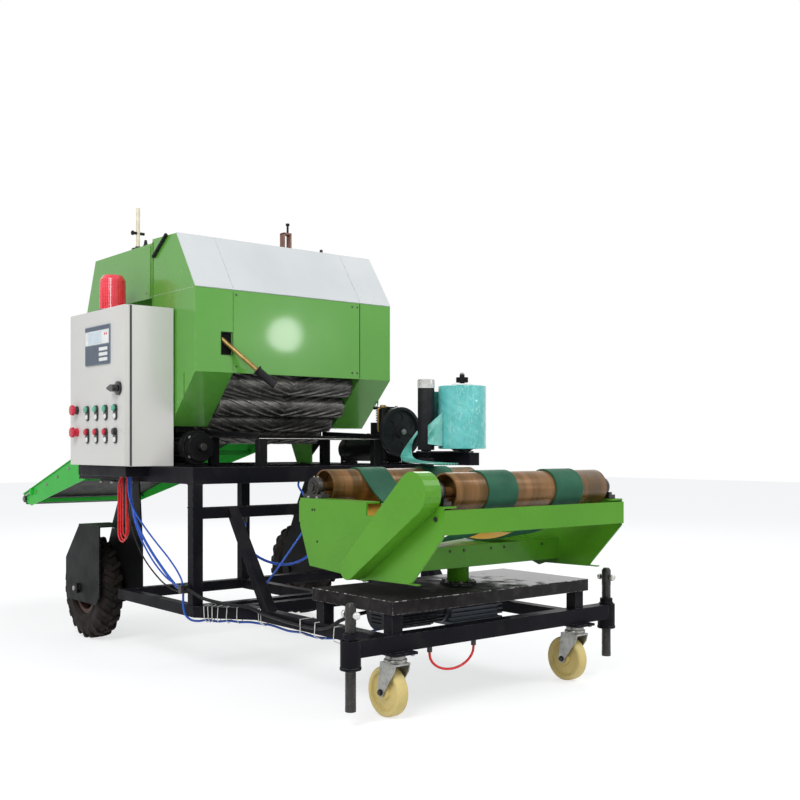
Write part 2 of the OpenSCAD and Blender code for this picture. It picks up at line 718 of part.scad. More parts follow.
module chamber_cradle() color([0.12, 0.12, 0.13]) place() {
    across([
        [chute_rear_x, chute_rear_z], [chute_front_x, chute_front_z],
        [chute_front_x, chute_front_z - 5], [chute_rear_x, chute_rear_z - 5],
    ], -chute_half_w, chute_half_w);
    both_sides() {
        difference() {
            across([
                [rear_beam_x, frame_top_z], [rear_beam_x + tube, frame_top_z],
                [seam_x + 60, chute_rear_z - 30], [seam_x + 60, cover_foot_z - air - 1],
                [rear_beam_x + 30, cover_foot_z - air - 1], [rear_beam_x, chute_rear_z - 60],
            ], plate_y, plate_y + plate_t);
            bar_y(cradle_drum_at[0], cradle_drum_at[1], drum_shaft_r + fit, plate_y - 1, plate_y + plate_t + 1);
            for (p = rear_drum_at) bar_y(p[0], p[1], drum_shaft_r + 3, plate_y - 1, plate_y + plate_t + 1);
        }
        span([mid_tube_x + 5, chute_half_w - tube, frame_top_z], [mid_tube_x + tube - 5, chute_half_w - 5, 838]);
        span([post_rear_x + 5, chute_half_w - tube, frame_top_z],
            [chute_front_x, chute_half_w - 5, chute_front_z - 5]);
    }
}

module cabinet() color([0.8, 0.79, 0.78]) place() {
    wall = 3;
    difference() {
        span([cab_x, door_back_y, frame_top_z], [cab_x + cab_w, cab_back_y, cab_top_z]);
        span([cab_x + wall, door_back_y - 1, frame_top_z + wall],
            [cab_x + cab_w - wall, cab_back_y - wall, cab_top_z - wall]);
    }
    span([cab_x + 30, cab_back_y - 24, frame_top_z + 40], [cab_x + cab_w - 30, cab_back_y - wall, cab_top_z - 40]);
    translate([cab_x + 180, (cab_back_y + cab_front_y) / 2, cab_top_z]) cylinder(r = 56, h = 16);
    for (z = [frame_top_z + 90, cab_top_z - 130]) {
        bar_z(door_hinge_x, door_back_y + 4, 6, z, z + 40);
        span([door_hinge_x, door_back_y + 1, z], [cab_x + 1, door_back_y + 7, z + 40]);
        bar_z(door_hinge_x, door_back_y + 4, 3, z - 38, z + 40);
    }
}

module cabinet_door() color([0.82, 0.81, 0.8]) place() {
    rim = 3;
    difference() {
        span([cab_x, cab_front_y, frame_top_z + 1], [cab_x + cab_w, door_back_y - seat, cab_top_z - 1]);
        span([cab_x + rim, cab_front_y + rim, frame_top_z + 1 + rim],
            [cab_x + cab_w - rim, door_back_y + 1, cab_top_z - 1 - rim]);
    }
    for (z = [frame_top_z + 90, cab_top_z - 130]) difference() {
        union() {
            bar_z(door_hinge_x, door_back_y + 4, 6, z - 38, z - seat);
            span([door_hinge_x, door_back_y - 3, z - 38], [cab_x + 1, door_back_y - seat, z - seat]);
        }
        bar_z(door_hinge_x, door_back_y + 4, 3 + fit, z - 50, z + 10);
    }
}

// What stands on the door: display panel, rotary handle, two rows of switches and two mushroom stops
module cabinet_controls() color([0.35, 0.37, 0.4]) place() {
    panel_x = cab_x + 158;
    panel_z = frame_top_z + 388;
    span([panel_x, cab_front_y - 6, panel_z], [panel_x + 223, cab_front_y, panel_z + 150]);
    bar_y(cab_x + 455, frame_top_z + 291, 26, cab_front_y - 10, cab_front_y);
    bar_y(cab_x + 455, frame_top_z + 291, 9, cab_front_y - knob_out, cab_front_y - 10);
    for (row = [0, 1]) {
        z = frame_top_z + 218 - row * 88;
        for (i = [0 : 3]) {
            bar_y(cab_x + 173 + i * 85, z, 17, cab_front_y - 6, cab_front_y);
            bar_y(cab_x + 173 + i * 85, z, 12, cab_front_y - 16, cab_front_y - 6);
        }
        bar_y(cab_x + 70, z, 14, cab_front_y - 14, cab_front_y);
        bar_y(cab_x + 70, z, 21, cab_front_y - 30, cab_front_y - 14);
    }
}

module beacon() color([0.85, 0.15, 0.18]) place()
    translate([cab_x + 180, (cab_back_y + cab_front_y) / 2, cab_top_z + 16]) {
        lens_r = 50;
        for (k = [0 : 9]) translate([0, 0, k * 12]) cylinder(r1 = lens_r, r2 = lens_r - 2, h = 12);
        translate([0, 0, 120]) cylinder(r1 = lens_r - 2, r2 = lens_r - 12, h = 16);
    }

module cabinet_support() color([0.1, 0.1, 0.12]) place() {
    for (x = [cab_x + 30, cab_x + cab_w - 30 - tube])
        span([x, cab_front_y + 20, frame_top_z - tube], [x + tube, -frame_half_w, frame_top_z]);
    span([cab_x + 30 + tube, cab_front_y + 20, frame_top_z - tube],
        [cab_x + cab_w - 30 - tube, cab_front_y + 20 + tube, frame_top_z]);
}

// Height of the conveyor plates' edges at a place along X
function conv_top_z(x) = conv_tail_z + conv_r / cos(conv_slope) + 2 + (x - conv_tail_x) * tan(conv_slope);
function conv_low_z(x) = 490 + (x - conv_tail_x - 83) * tan(conv_slope - 3.8);

module conveyor_frame() color([0.3, 0.78, 0.36]) place() {
    tip_x = conv_tail_x - 28;
    low_x = conv_tail_x + 83;
    head_x = conv_head_x + 24;
    both_sides() {
        across([
            [tip_x, conv_top_z(tip_x)], [head_x, conv_top_z(head_x)], [head_x, conv_low_z(head_x)],
            [low_x, conv_low_z(low_x)], [conv_tail_x - 12, conv_tail_z - 14],
        ], conv_half_w - sheet_t, conv_half_w);
        for (p = [[conv_tail_x, conv_tail_z], [conv_head_x, conv_head_z]])
            bar_y(p[0], p[1], 12, conv_half_w - 12, conv_half_w - sheet_t);
    }
    for (p = [[conv_tail_x, conv_tail_z], [conv_head_x, conv_head_z]])
        bar_y(p[0], p[1], conv_r - 4, -conv_half_w + 12, conv_half_w - 12);
    for (x = [low_x + 60, (low_x + frame_rear_x) / 2, frame_rear_x - 60]) {
        z = conv_low_z(x) + 6;
        span([x, -conv_half_w + sheet_t, z], [x + 30, conv_half_w - sheet_t, z + 20]);
    }
}

module conveyor_belt() color([0.1, 0.1, 0.1]) place() {
    tail = [conv_tail_x, conv_tail_z];
    head = [conv_head_x, conv_head_z];
    half = conv_half_w - sheet_t - 3;
    difference() {
        across(two_discs(head, conv_r, tail, conv_r, 8), -half, half);
        across(two_discs(head, conv_r - 3.4, tail, conv_r - 3.4, 8), -half - 1, half + 1);
    }
}

module baler_motor() color([0.2, 0.22, 0.24]) place() {
    y = -385;
    motor_r = 64;
    z = frame_top_z + 8 + motor_r;
    x0 = rear_beam_x + 4;
    x1 = mid_tube_x + 130;
    bar_x(y, z, motor_r - 8, x0 + 60, x1 - 60);
    bar_x(y, z, motor_r, x0, x0 + 60);
    bar_x(y, z, motor_r, x1 - 60, x1 - 24);
    bar_x(y, z, motor_r - 12, x1 - 24, x1);
    span([x0, y - 60, frame_top_z], [mid_tube_x + tube, y + 60, frame_top_z + 9]);
    for (i = [0 : 17]) translate([x0 + 60, y, z]) rotate([0, 90, 0]) rotate(i * 20)
        translate([motor_r - 9, -1.5, 0]) cube([8, 3, x1 - x0 - 120]);
}

wheel_c = [373, 861];

module compressor() color([0.12, 0.12, 0.13]) place() difference() {
    tank_r = 50;
    tank_y = 390;
    tank_z = frame_top_z + 12 + tank_r;
    x0 = mid_tube_x + 20;
    union() {
        bar_x(tank_y, tank_z, tank_r, x0, -8);
        for (x = [x0 + 4, -26])
            span([x, tank_y - 40, frame_top_z], [x + 16, tank_y + 40, tank_z - 20]);
        span([-26, tank_y - 40, frame_top_z], [post_rear_x + 20, tank_y + 40, frame_top_z + 8]);
        span([-90, wheel_c[0] - 42, tank_z + 20], [14, wheel_c[0] + 42, wheel_c[1] + 40]);
        bar_x(wheel_c[0], wheel_c[1], 30, 14, 26);
        bar_z(-40, wheel_c[0], 30, wheel_c[1] + 40, wheel_c[1] + 96);
        for (k = [0 : 4]) bar_z(-40, wheel_c[0], 42, wheel_c[1] + 46 + k * 10, wheel_c[1] + 51 + k * 10);
        span([-78, wheel_c[0] - 38, wheel_c[1] + 94], [-2, wheel_c[0] + 38, wheel_c[1] + 104]);
    }
    bar_x(wheel_c[0], wheel_c[1], 10 + fit, -10, 30);
}

module compressor_wheel() color([0.1, 0.1, 0.1]) place() {
    pulley_r = 101;
    bar_x(wheel_c[0], wheel_c[1], 10, -8, 74);
    bar_x(wheel_c[0], wheel_c[1], 24, 34, 70);
    difference() {
        bar_x(wheel_c[0], wheel_c[1], pulley_r, 40, 64);
        bar_x(wheel_c[0], wheel_c[1], pulley_r - 12, 52, 65);
        bar_x(wheel_c[0], wheel_c[1], pulley_r - 12, 39, 44);
        for (i = [0 : 5]) translate([30, wheel_c[0], wheel_c[1]]) rotate([i * 60, 0, 0])
            translate([0, 0, 56]) rotate([0, 90, 0]) cylinder(r = 17, h = 40);
    }
    bar_x(wheel_c[0], wheel_c[1], 24, 34, 70);
}

module film_stand() color([0.14, 0.14, 0.15]) place() {
    plate_top = stand_z + stand_t;
    difference() {
        union() {
            span([-60, film_y - arm / 2, arm_z], [film_x + 72, film_y + arm / 2, stand_z]);
            translate([0, 0, stand_z]) linear_extrude(stand_t)
                polygon(two_discs([film_x, film_y], 46, [stretch_x, stretch_y], 40, 8));
            bar_z(stretch_x, stretch_y, 20, stand_z - 14, plate_top);
        }
        bar_z(stretch_x, stretch_y, 9 + fit, arm_z, plate_top + 1);
    }
    bar_z(film_x, film_y, spindle_r, plate_top, film_z + film_h + 46);
    bar_z(film_x, film_y, 24, film_z + film_h + 14, film_z + film_h + 34);
    bar_z(post_rear_x + tube / 2, 306, 9, frame_top_z, 970);
    bar_z(post_rear_x + tube / 2, 306, 16, frame_top_z, frame_top_z + 12);
}

module film_roll() color([0.45, 0.82, 0.75]) place() difference() {
    union() {
        bar_z(film_x, film_y, film_r, film_z, film_z + film_h);
        bar_z(film_x, film_y, 34, stand_z + stand_t + seat, film_z);
        bar_z(film_x, film_y, 42, film_z + film_h, film_z + film_h + 8);
    }
    bar_z(film_x, film_y, spindle_r + fit, stand_z, film_z + film_h + 20);
}

module stretch_roller() color([0.1, 0.1, 0.11]) place() {
    top_z = film_z + film_h - 12;
    bar_z(stretch_x, stretch_y, stretch_r, stand_z + stand_t + 4, top_z);
    bar_z(stretch_x, stretch_y, 20, stand_z + stand_t + seat, stand_z + stand_t + 4);
    bar_z(stretch_x, stretch_y, 22, top_z, top_z + 35);
    bar_z(stretch_x, stretch_y, 9, stand_z - 48, stand_z + stand_t + 4);
    teeth = 20;
    translate([stretch_x, stretch_y, stand_z - 44]) linear_extrude(22)
        polygon([for (i = [0 : teeth - 1], k = [[0, 27], [0.3, 32], [0.6, 32], [0.9, 27]])
            k[1] * [cos((i + k[0]) * 360 / teeth), sin((i + k[0]) * 360 / teeth)]]);
}

module top_fittings() color([0.72, 0.6, 0.5]) place() {
    rod_x = seam_x - 190;
    bar_z(rod_x, -430, 8, rear_roof_z, 1781);
    bar_z(rod_x, -430, 26, rear_roof_z, rear_roof_z + 10);
    bar_y(rod_x, rear_roof_z + 72, 6, -458, -402);
    translate([rod_x + 70, -430, rear_roof_z]) cylinder(r1 = 14, r2 = 5, h = 34);
    span([rod_x + 100, 380, rear_roof_z], [rod_x + 150, 420, rear_roof_z + 42]);
    bar_z(rod_x + 125, 400, 7, rear_roof_z + 42, rear_roof_z + 84);
}

// A smooth run of n steps between each pair of a route's chosen points
function smooth(p, n) = [
    for (i = [0 : len(p) - 2], k = [0 : n - 1])
        let (
            a = p[max(i - 1, 0)], b = p[i], c = p[i + 1], d = p[min(i + 2, len(p) - 1)],
            t = k / n
        )
        0.5 * (2 * b + (c - a) * t + (2 * a - 5 * b + 4 * c - d) * t * t + (3 * b - a - 3 * c + d) * t * t * t),
    p[len(p) - 1],
];

// Tube along points; ref is a direction that the route never takes, flat presses the tube
module tube_along(points, radii, ref, flat = 1, sides = 8) {
    m = len(points);
    rings = [for (i = [0 : m - 1]) let (
        t = unit(points[min(i + 1, m - 1)] - points[max(i - 1, 0)]),
        s = unit(cross(ref, t)),
        u = cross(t, s)
    ) for (j = [0 : sides - 1]) let (a = j * 360 / sides)
        points[i] + radii[i] * (cos(a) * s + flat * sin(a) * u)];
    walls = [for (i = [0 : m - 2], j = [0 : sides - 1]) let (k = (j + 1) % sides)
        [i * sides + j, (i + 1) * sides + j, (i + 1) * sides + k, i * sides + k]];
    polyhedron(rings, concat(
        [[for (j = [0 : sides - 1]) j]], walls,
        [[for (j = [sides - 1 : -1 : 0]) (m - 1) * sides + j]]
    ));
}

module hose(route, steps, r, ref) {
    points = smooth(route, steps);
    tube_along(points, [for (p = points) r], ref);
}

// Routes of the hoses and of the film's free end, as [x, y, z] from the machine's datum
blue_route = [
    [-400, -590, 699.7], [-400, -590, 660], [-397, -590, 620], [-370, -590, 550], [-310, -590, 480],
    [-220, -588, 410], [-120, -584, 345], [-60, -582, 312], [-34, -582, 301], [-14, -582, 300],
    [5.7, -582, 300],
];
loop_route = [
    [24, -340, 524.7], [24, -340, 500], [24, -334, 455], [26, -300, 405], [28, -230, 370],
    [30, -150, 358], [28, -70, 380], [25, -6, 430], [24, 17, 470], [24, 18, 500], [24, 18, 524.7],
];
coil_route = [
    [-485, -590, 699.7], [-485, -590, 600], [-485, -590, 500], [-472, -590, 454],
    [-455, -590, 442], [-438, -590, 454], [-425, -590, 500], [-425, -590, 600], [-425, -590, 699.7],
];
cable_route = [
    [26.3, -582, 300], [46, -582, 300], [66, -580, 297], [105, -556, 274], [160, -500, 256],
    [225, -450, 248], [300, -434, 232], [450, -430, 222], [600, -430, 222], [680, -430, 236],
    [730, -424, 262], [762, -390, 280], [785, -345, 290], [788, -318, 292], [788, -289, 292],
    [788, -260.3, 292],
];
front_route = [
    [965, -262, 179.7], [965, -262, 164], [965, -255, 146], [965, -228, 130], [965, -190, 124],
    [965, -140, 126], [965, -100, 138], [965, -81, 152], [965, -80, 166], [965, -80, 179.7],
];
tail_route = [
    [187.3, 353.5, 862], [174, 336, 830], [176, 312, 796], [202, 282, 764], [270, 245, 748],
    [380, 190, 744], [510, 120, 743], [640, 55, 743], [770, 0, 743],
];
tail_half = [3, 9, 16, 24, 30, 36, 42, 46, 30];

module hose_fittings() color([0.72, 0.6, 0.32]) place() {
    for (back = [205, 145, 120]) bar_z(cab_x + cab_w - back, -outlet_y, 10, outlet_z, frame_top_z);
    for (y = [-340, 18]) bar_z(24, y, 8, 525, mid_beam_z);
    for (y = [-262, -80]) bar_z(965, y, 8, 180, rail_z);
    span([6, -outlet_y - 10, 286], [26, -frame_half_w, 314]);
    span([motor_x - motor_r - 24, -260, motor_z - 18], [motor_x - motor_r + 1, -180, motor_z + 20]);
}

module hose_blue() color([0.15, 0.35, 0.75]) place() hose(blue_route, 3, 5, [0, 1, 0]);
module hose_loop() color([0.15, 0.35, 0.75]) place() hose(loop_route, 2, 5, [1, 0, 0]);
module coil_red() color([0.88, 0.16, 0.16]) place() hose(coil_route, 1, 13, [0, 1, 0]);
module cable_black() color([0.08, 0.08, 0.08]) place() hose(cable_route, 2, 6, [0.3, 0.3, -1]);
module hose_front() color([0.88, 0.16, 0.16]) place() hose(front_route, 2, 4, [1, 0, 0]);

// The film's web between roll and stretch roller, and its free end over the table
module film_tail() color([0.5, 0.85, 0.78]) place() {
    to_roll = [film_x, film_y];
    to_stretch = [stretch_x, stretch_y];
    lean = atan2(to_stretch[1] - to_roll[1], to_stretch[0] - to_roll[0]);
    a = lean - acos((film_r - stretch_r) / norm(to_stretch - to_roll));
    out = [cos(a), sin(a)];
    translate([0, 0, film_z + 12]) linear_extrude(film_h - 32) polygon([
        to_roll + (film_r + 0.6) * out, to_roll + (film_r + 2.4) * out,
        to_stretch + (stretch_r + 2.4) * out, to_stretch + (stretch_r + 0.6) * out,
    ]);
    points = smooth(tail_route, 1);
    tube_along(points, tail_half, [0, 0, 1], 0.06);
}

top_frame();
front_posts();
lower_frame();
wheel_brackets();
tyre_near();
rim_near();
tyre_far();
rim_far();
wrapper_base();
link_tubes();
platform();
gearbox();
table_motor();
jack_near();
jack_far();
caster_fork_near();
caster_wheel_near();
caster_fork_far();
caster_wheel_far();
table_frame();
chain_guard();
table_bearings();
roller_front();
roller_rear();
table_belts();
chamber_rear();
rear_drum();
chamber_cradle();
gate_shell();
gate_top();
gate_drum();
gate_lever();
cabinet();
cabinet_door();
cabinet_controls();
beacon();
cabinet_support();
conveyor_frame();
conveyor_belt();
baler_motor();
compressor();
compressor_wheel();
film_stand();
film_roll();
stretch_roller();
film_tail();
top_fittings();
hose_fittings();
hose_blue();
hose_loop();
coil_red();
cable_black();
hose_front();
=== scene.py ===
"""Dresses the mini silage baler with its bale wrapping table.

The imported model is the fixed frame: it holds every rigid part at its real size. This script gives
each of them its finish, adds what is too fine for the frame, such as bolts, seams, tread, ties and
switches, and models the hoses, the belts and the stretched film. Shapes are written in the machine's
own millimetres, with +X towards the wrapping table and +Y towards the film stand, and are brought
into the row's frame when a piece is made.
"""

import logging
import math
import random
from collections.abc import Callable, Iterable, Sequence
from dataclasses import dataclass
from enum import Enum
from itertools import product

import bmesh
import bpy
from mathutils import Matrix, Vector


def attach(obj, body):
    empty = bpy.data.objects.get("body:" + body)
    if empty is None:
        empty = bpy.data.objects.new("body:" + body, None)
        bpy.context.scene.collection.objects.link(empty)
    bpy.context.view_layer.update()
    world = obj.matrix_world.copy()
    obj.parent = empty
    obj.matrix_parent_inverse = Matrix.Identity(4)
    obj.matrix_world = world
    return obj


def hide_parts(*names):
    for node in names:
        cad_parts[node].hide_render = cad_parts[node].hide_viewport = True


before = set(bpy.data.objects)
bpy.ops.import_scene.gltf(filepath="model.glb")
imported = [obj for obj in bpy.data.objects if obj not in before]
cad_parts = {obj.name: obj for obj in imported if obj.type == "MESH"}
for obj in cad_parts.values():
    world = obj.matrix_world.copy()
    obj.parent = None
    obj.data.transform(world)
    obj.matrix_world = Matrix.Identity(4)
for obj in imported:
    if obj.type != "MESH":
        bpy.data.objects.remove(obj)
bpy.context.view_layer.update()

LOG = logging.getLogger("baler")
Point = tuple[float, float, float]
Flat = tuple[float, float]
Colour = tuple[float, float, float]

MM = 0.001
MID_X_MM = -571.5
MID_Y_MM = -49.0
SIDES = (-1, 1)


def at(x: float, y: float, z: float) -> Vector:
    """Bring a place of the machine into the row's frame.

    Args:
        x: Place along the machine from its datum, in millimetres.
        y: Place across the machine, in millimetres.
        z: Height above the ground, in millimetres.

    Returns:
        The same place in metres.
    """
    return Vector(((x - MID_X_MM) * MM, (y - MID_Y_MM) * MM, z * MM))


def tint(red: int, green: int, blue: int) -> Colour:
    """Turn a screen colour of 0 to 255 into Blender's linear colour."""
    def linear(value: float) -> float:
        """Undo the screen's curve for one channel."""
        share = value / 255
        return share / 12.92 if share <= 0.04045 else ((share + 0.055) / 1.055) ** 2.4
    return (linear(red), linear(green), linear(blue))


class Axis(Enum):
    """The machine's three directions."""

    X = (1.0, 0.0, 0.0)
    Y = (0.0, 1.0, 0.0)
    Z = (0.0, 0.0, 1.0)

    @property
    def vector(self) -> Vector:
        """The direction as a vector."""
        return Vector(self.value)


UP = Axis.Z.vector
DOWN = -UP


class NodeGraph:
    """Short names for what is done in the node tree of a material or a world."""

    def __init__(self, owner: bpy.types.Material | bpy.types.World) -> None:
        """Start with the owner's empty tree."""
        owner.use_nodes = True
        self.tree = owner.node_tree
        self.tree.nodes.clear()

    def add(self, kind: str, **settings: object) -> bpy.types.Node:
        """Add a node of a kind and set its plain properties."""
        node = self.tree.nodes.new(kind)
        for key, value in settings.items():
            setattr(node, key, value)
        return node

    def link(self, source: object, target: object) -> None:
        """Join two sockets."""
        self.tree.links.new(source, target)

    def maximum(self, first: object, second: object) -> object:
        """Larger of two value sockets."""
        node = self.add("ShaderNodeMath", operation="MAXIMUM")
        self.link(first, node.inputs[0])
        self.link(second, node.inputs[1])
        return node.outputs[0]

    def white_where_seen(self, lit: object, shown: object) -> object:
        """Mix in what the camera, reflections and glass see.

        Args:
            lit: Shader socket that lights or catches shade.
            shown: Shader socket of the white ground.

        Returns:
            The mixed shader's socket.
        """
        path = self.add("ShaderNodeLightPath").outputs
        either = self.maximum(path["Is Camera Ray"], path["Is Glossy Ray"])
        mix = self.add("ShaderNodeMixShader")
        self.link(self.maximum(either, path["Is Transmission Ray"]), mix.inputs[0])
        self.link(lit, mix.inputs[1])
        self.link(shown, mix.inputs[2])
        return mix.outputs[0]


class SurfaceGraph(NodeGraph):
    """What the finishes do in a material's node tree."""

    def __init__(self, name: str) -> None:
        """Start an empty material with its output and principled shader."""
        self.material = bpy.data.materials.new(name)
        super().__init__(self.material)
        self.output = self.add("ShaderNodeOutputMaterial")
        self.shader = self.add("ShaderNodeBsdfPrincipled")
        self.link(self.shader.outputs[0], self.output.inputs[0])
        self.place = self.add("ShaderNodeTexCoord").outputs["Object"]

    def noise(self, scale: float, detail: float = 3.0, stretch: Point = (1, 1, 1)) -> object:
        """Grey noise over the surface, at a scale in waves per metre.

        Args:
            scale: How many waves fit in a metre.
            detail: How many finer octaves it has.
            stretch: Share of the scale along each axis, for brushed or run marks.

        Returns:
            The noise's value socket.
        """
        mapping = self.add("ShaderNodeMapping")
        mapping.inputs["Scale"].default_value = stretch
        self.link(self.place, mapping.inputs[0])
        texture = self.add("ShaderNodeTexNoise")
        texture.inputs["Scale"].default_value = scale
        texture.inputs["Detail"].default_value = detail
        self.link(mapping.outputs[0], texture.inputs["Vector"])
        return texture.outputs[0]

    def remap(self, source: object, low: float, high: float, to_low: float, to_high: float) -> object:
        """Stretch a value from one range to another, clamped.

        Args:
            source: Socket to read.
            low: Where the source range starts.
            high: Where the source range ends.
            to_low: Value at its start.
            to_high: Value at its end.

        Returns:
            The new value's socket.
        """
        node = self.add("ShaderNodeMapRange")
        node.inputs["From Min"].default_value = low
        node.inputs["From Max"].default_value = high
        node.inputs["To Min"].default_value = to_low
        node.inputs["To Max"].default_value = to_high
        self.link(source, node.inputs["Value"])
        return node.outputs[0]

    def blend(self, share: object, below: object, above: object) -> object:
        """Mix two colours, each a colour or a socket, by a value socket."""
        node = self.add("ShaderNodeMix", data_type="RGBA")
        self.link(share, node.inputs[0])
        for value, socket in ((below, node.inputs[6]), (above, node.inputs[7])):
            if isinstance(value, tuple):
                socket.default_value = (*value, 1)
            else:
                self.link(value, socket)
        return node.outputs[2]

    def multiply(self, first: object, second: object) -> object:
        """Multiply two value sockets."""
        node = self.add("ShaderNodeMath", operation="MULTIPLY")
        self.link(first, node.inputs[0])
        self.link(second, node.inputs[1])
        return node.outputs[0]

    def edges(self, radius: float) -> object:
        """One where the surface turns sharply within a radius in metres, else zero."""
        bevel = self.add("ShaderNodeBevel", samples=4)
        bevel.inputs["Radius"].default_value = radius
        geometry = self.add("ShaderNodeNewGeometry")
        dot = self.add("ShaderNodeVectorMath", operation="DOT_PRODUCT")
        self.link(bevel.outputs[0], dot.inputs[0])
        self.link(geometry.outputs["Normal"], dot.inputs[1])
        flat, sharp = 0.995, 0.93
        return self.remap(dot.outputs["Value"], flat, sharp, 0, 1)

    def relief(self, height: object, strength: float, depth: float, under: object = None) -> object:
        """Bump the normal by a height socket.

        Args:
            height: Socket with the relief's height.
            strength: Share of the relief that is used.
            depth: Depth of the relief in metres.
            under: Normal socket that the relief lies on.

        Returns:
            The normal's socket.
        """
        bump = self.add("ShaderNodeBump")
        bump.inputs["Strength"].default_value = strength
        bump.inputs["Distance"].default_value = depth
        self.link(height, bump.inputs["Height"])
        if under is not None:
            self.link(under, bump.inputs["Normal"])
        return bump.outputs[0]

    def set(self, **values: object) -> None:
        """Set sockets of the principled shader by name; an underscore stands for a space."""
        for key, value in values.items():
            socket = self.shader.inputs[key.replace("_", " ")]
            if isinstance(value, (int, float)):
                socket.default_value = value
            elif isinstance(value, tuple):
                socket.default_value = (*value, 1)
            else:
                self.link(value, socket)


@dataclass(frozen=True)
class Finish:
    """A surface that is painted, moulded or left bare.

    Attributes:
        name: Name of the material.
        colour: Main colour.
        second: Colour that it drifts to, in soft patches.
        drift: Patches per metre.
        rough: Lowest and highest roughness.
        metal: Metallic share.
        coat: Weight of a clear coat.
        grain: Bump depth in metres, and waves per metre.
        stretch: Share of the grain's scale along each axis.
        worn: Colour that shows at worn edges, or None.
        edge: Width of the worn edge in metres.
        dust: Colour of the dust that lies in patches, or None.
        round_off: Radius in metres by which sharp edges catch the light.
        shine: Specular level, where 0.5 is plain plastic or paint.
    """

    name: str
    colour: Colour
    second: Colour | None = None
    drift: float = 5.0
    rough: tuple[float, float] = (0.3, 0.45)
    metal: float = 0.0
    coat: float = 0.0
    grain: tuple[float, float] = (0.00005, 400.0)
    stretch: Point = (1, 1, 1)
    worn: Colour | None = None
    edge: float = 0.0025
    dust: Colour | None = None
    round_off: float = 0.0
    shine: float = 0.5

    def base(self, graph: SurfaceGraph) -> object:
        """Mix the colour patches.

        Args:
            graph: The material's nodes.

        Returns:
            The socket of the base colour.
        """
        darker = tuple(channel * 0.82 for channel in self.colour)
        patches = graph.remap(graph.noise(self.drift, 5), 0.35, 0.7, 0, 1)
        colour = graph.blend(patches, self.colour, self.second or darker)
        if self.dust is not None:
            spots = graph.remap(graph.noise(self.drift * 3.1, 8), 0.5, 0.74, 0, 0.6)
            colour = graph.blend(spots, colour, self.dust)
        if self.worn is not None:
            nicks = graph.remap(graph.noise(55, 6), 0.44, 0.6, 0, 1)
            colour = graph.blend(graph.multiply(graph.edges(self.edge), nicks), colour, self.worn)
        return colour

    def roughness(self, graph: SurfaceGraph) -> object:
        """Smear the roughness between its two values."""
        return graph.remap(graph.noise(self.drift * 2.3, 6), 0.3, 0.72, *self.rough)

    def normal(self, graph: SurfaceGraph) -> object:
        """Lay the grain over the rounded edges.

        Args:
            graph: The material's nodes.

        Returns:
            The socket of the normal.
        """
        under = None
        if self.round_off:
            bevel = graph.add("ShaderNodeBevel", samples=4)
            bevel.inputs["Radius"].default_value = self.round_off
            under = bevel.outputs[0]
        return graph.relief(graph.noise(self.grain[1], 4, self.stretch), 1.0, self.grain[0], under)

    def fill(self, graph: SurfaceGraph) -> None:
        """Set the shader's sockets."""
        graph.set(Base_Color=self.base(graph), Metallic=self.metal, Coat_Weight=self.coat)
        graph.set(Roughness=self.roughness(graph), Normal=self.normal(graph))
        graph.set(Specular_IOR_Level=self.shine)
        if self.coat:
            graph.set(Coat_Roughness=0.06)

    def make(self) -> bpy.types.Material:
        """Make the material once and return it."""
        label = f"{self.name}_finish"
        known = bpy.data.materials.get(label)
        if known is None:
            graph = SurfaceGraph(label)
            self.fill(graph)
            known = graph.material
        return known


@dataclass(frozen=True)
class FilmFinish(Finish):
    """Stretched wrapping film, glossy and a little see-through, with fine folds."""

    def fill(self, graph: SurfaceGraph) -> None:
        """Set the shader's sockets, with soft folds and fine creases whose highlights are painted in a pale
        colour.
        """
        folds = graph.noise(self.grain[1], 6, self.stretch)
        shade = graph.remap(graph.noise(self.drift * 3, 4), 0.36, 0.66, 0, 1)
        colour = graph.blend(shade, self.second or self.colour, self.colour)
        # Thin pale lines along the folds are painted highlights on the creases, not a colour of the film.
        lines = graph.noise(44, 3.5, (1.3, 1.3, 0.5))
        rising, falling = graph.remap(lines, 0.47, 0.5, 0, 1), graph.remap(lines, 0.5, 0.53, 1, 0)
        patches = graph.remap(graph.noise(11, 3), 0.46, 0.62, 0, 0.55)
        painted_crease_highlights = graph.multiply(graph.multiply(rising, falling), patches)
        graph.set(Base_Color=graph.blend(painted_crease_highlights, colour, tint(206, 246, 238)))
        graph.set(Roughness=graph.remap(folds, 0.3, 0.7, *self.rough))
        graph.set(Normal=graph.relief(folds, 1.0, self.grain[0]), Coat_Weight=self.coat)
        graph.set(Coat_Roughness=0.12, Subsurface_Weight=0.12, Subsurface_Scale=0.01)


@dataclass(frozen=True)
class RollerFinish(Finish):
    """Bronze coloured tube whose sheen is rubbed in rings round its axis."""

    def base(self, graph: SurfaceGraph) -> object:
        """Mix rubbed rings over the tube's own patches."""
        rings = graph.remap(graph.noise(26, 4, (0.05, 1, 0.05)), 0.4, 0.62, 0, 0.75)
        return graph.blend(rings, super().base(graph), self.worn or self.colour)


@dataclass(frozen=True)
class DeckFinish(Finish):
    """Deck paint that use has polished on the far side and left dull on the near one."""

    def roughness(self, graph: SurfaceGraph) -> object:
        """Run from dull to polished across the deck, with smears in between."""
        across = graph.add("ShaderNodeSeparateXYZ")
        graph.link(graph.place, across.inputs[0])
        smear = graph.remap(graph.noise(self.drift * 2.3, 6), 0.3, 0.72, -0.16, 0.16)
        shifted = graph.add("ShaderNodeMath", operation="ADD")
        graph.link(across.outputs["Y"], shifted.inputs[0])
        graph.link(smear, shifted.inputs[1])
        return graph.remap(shifted.outputs[0], -0.12, 0.26, *reversed(self.rough))


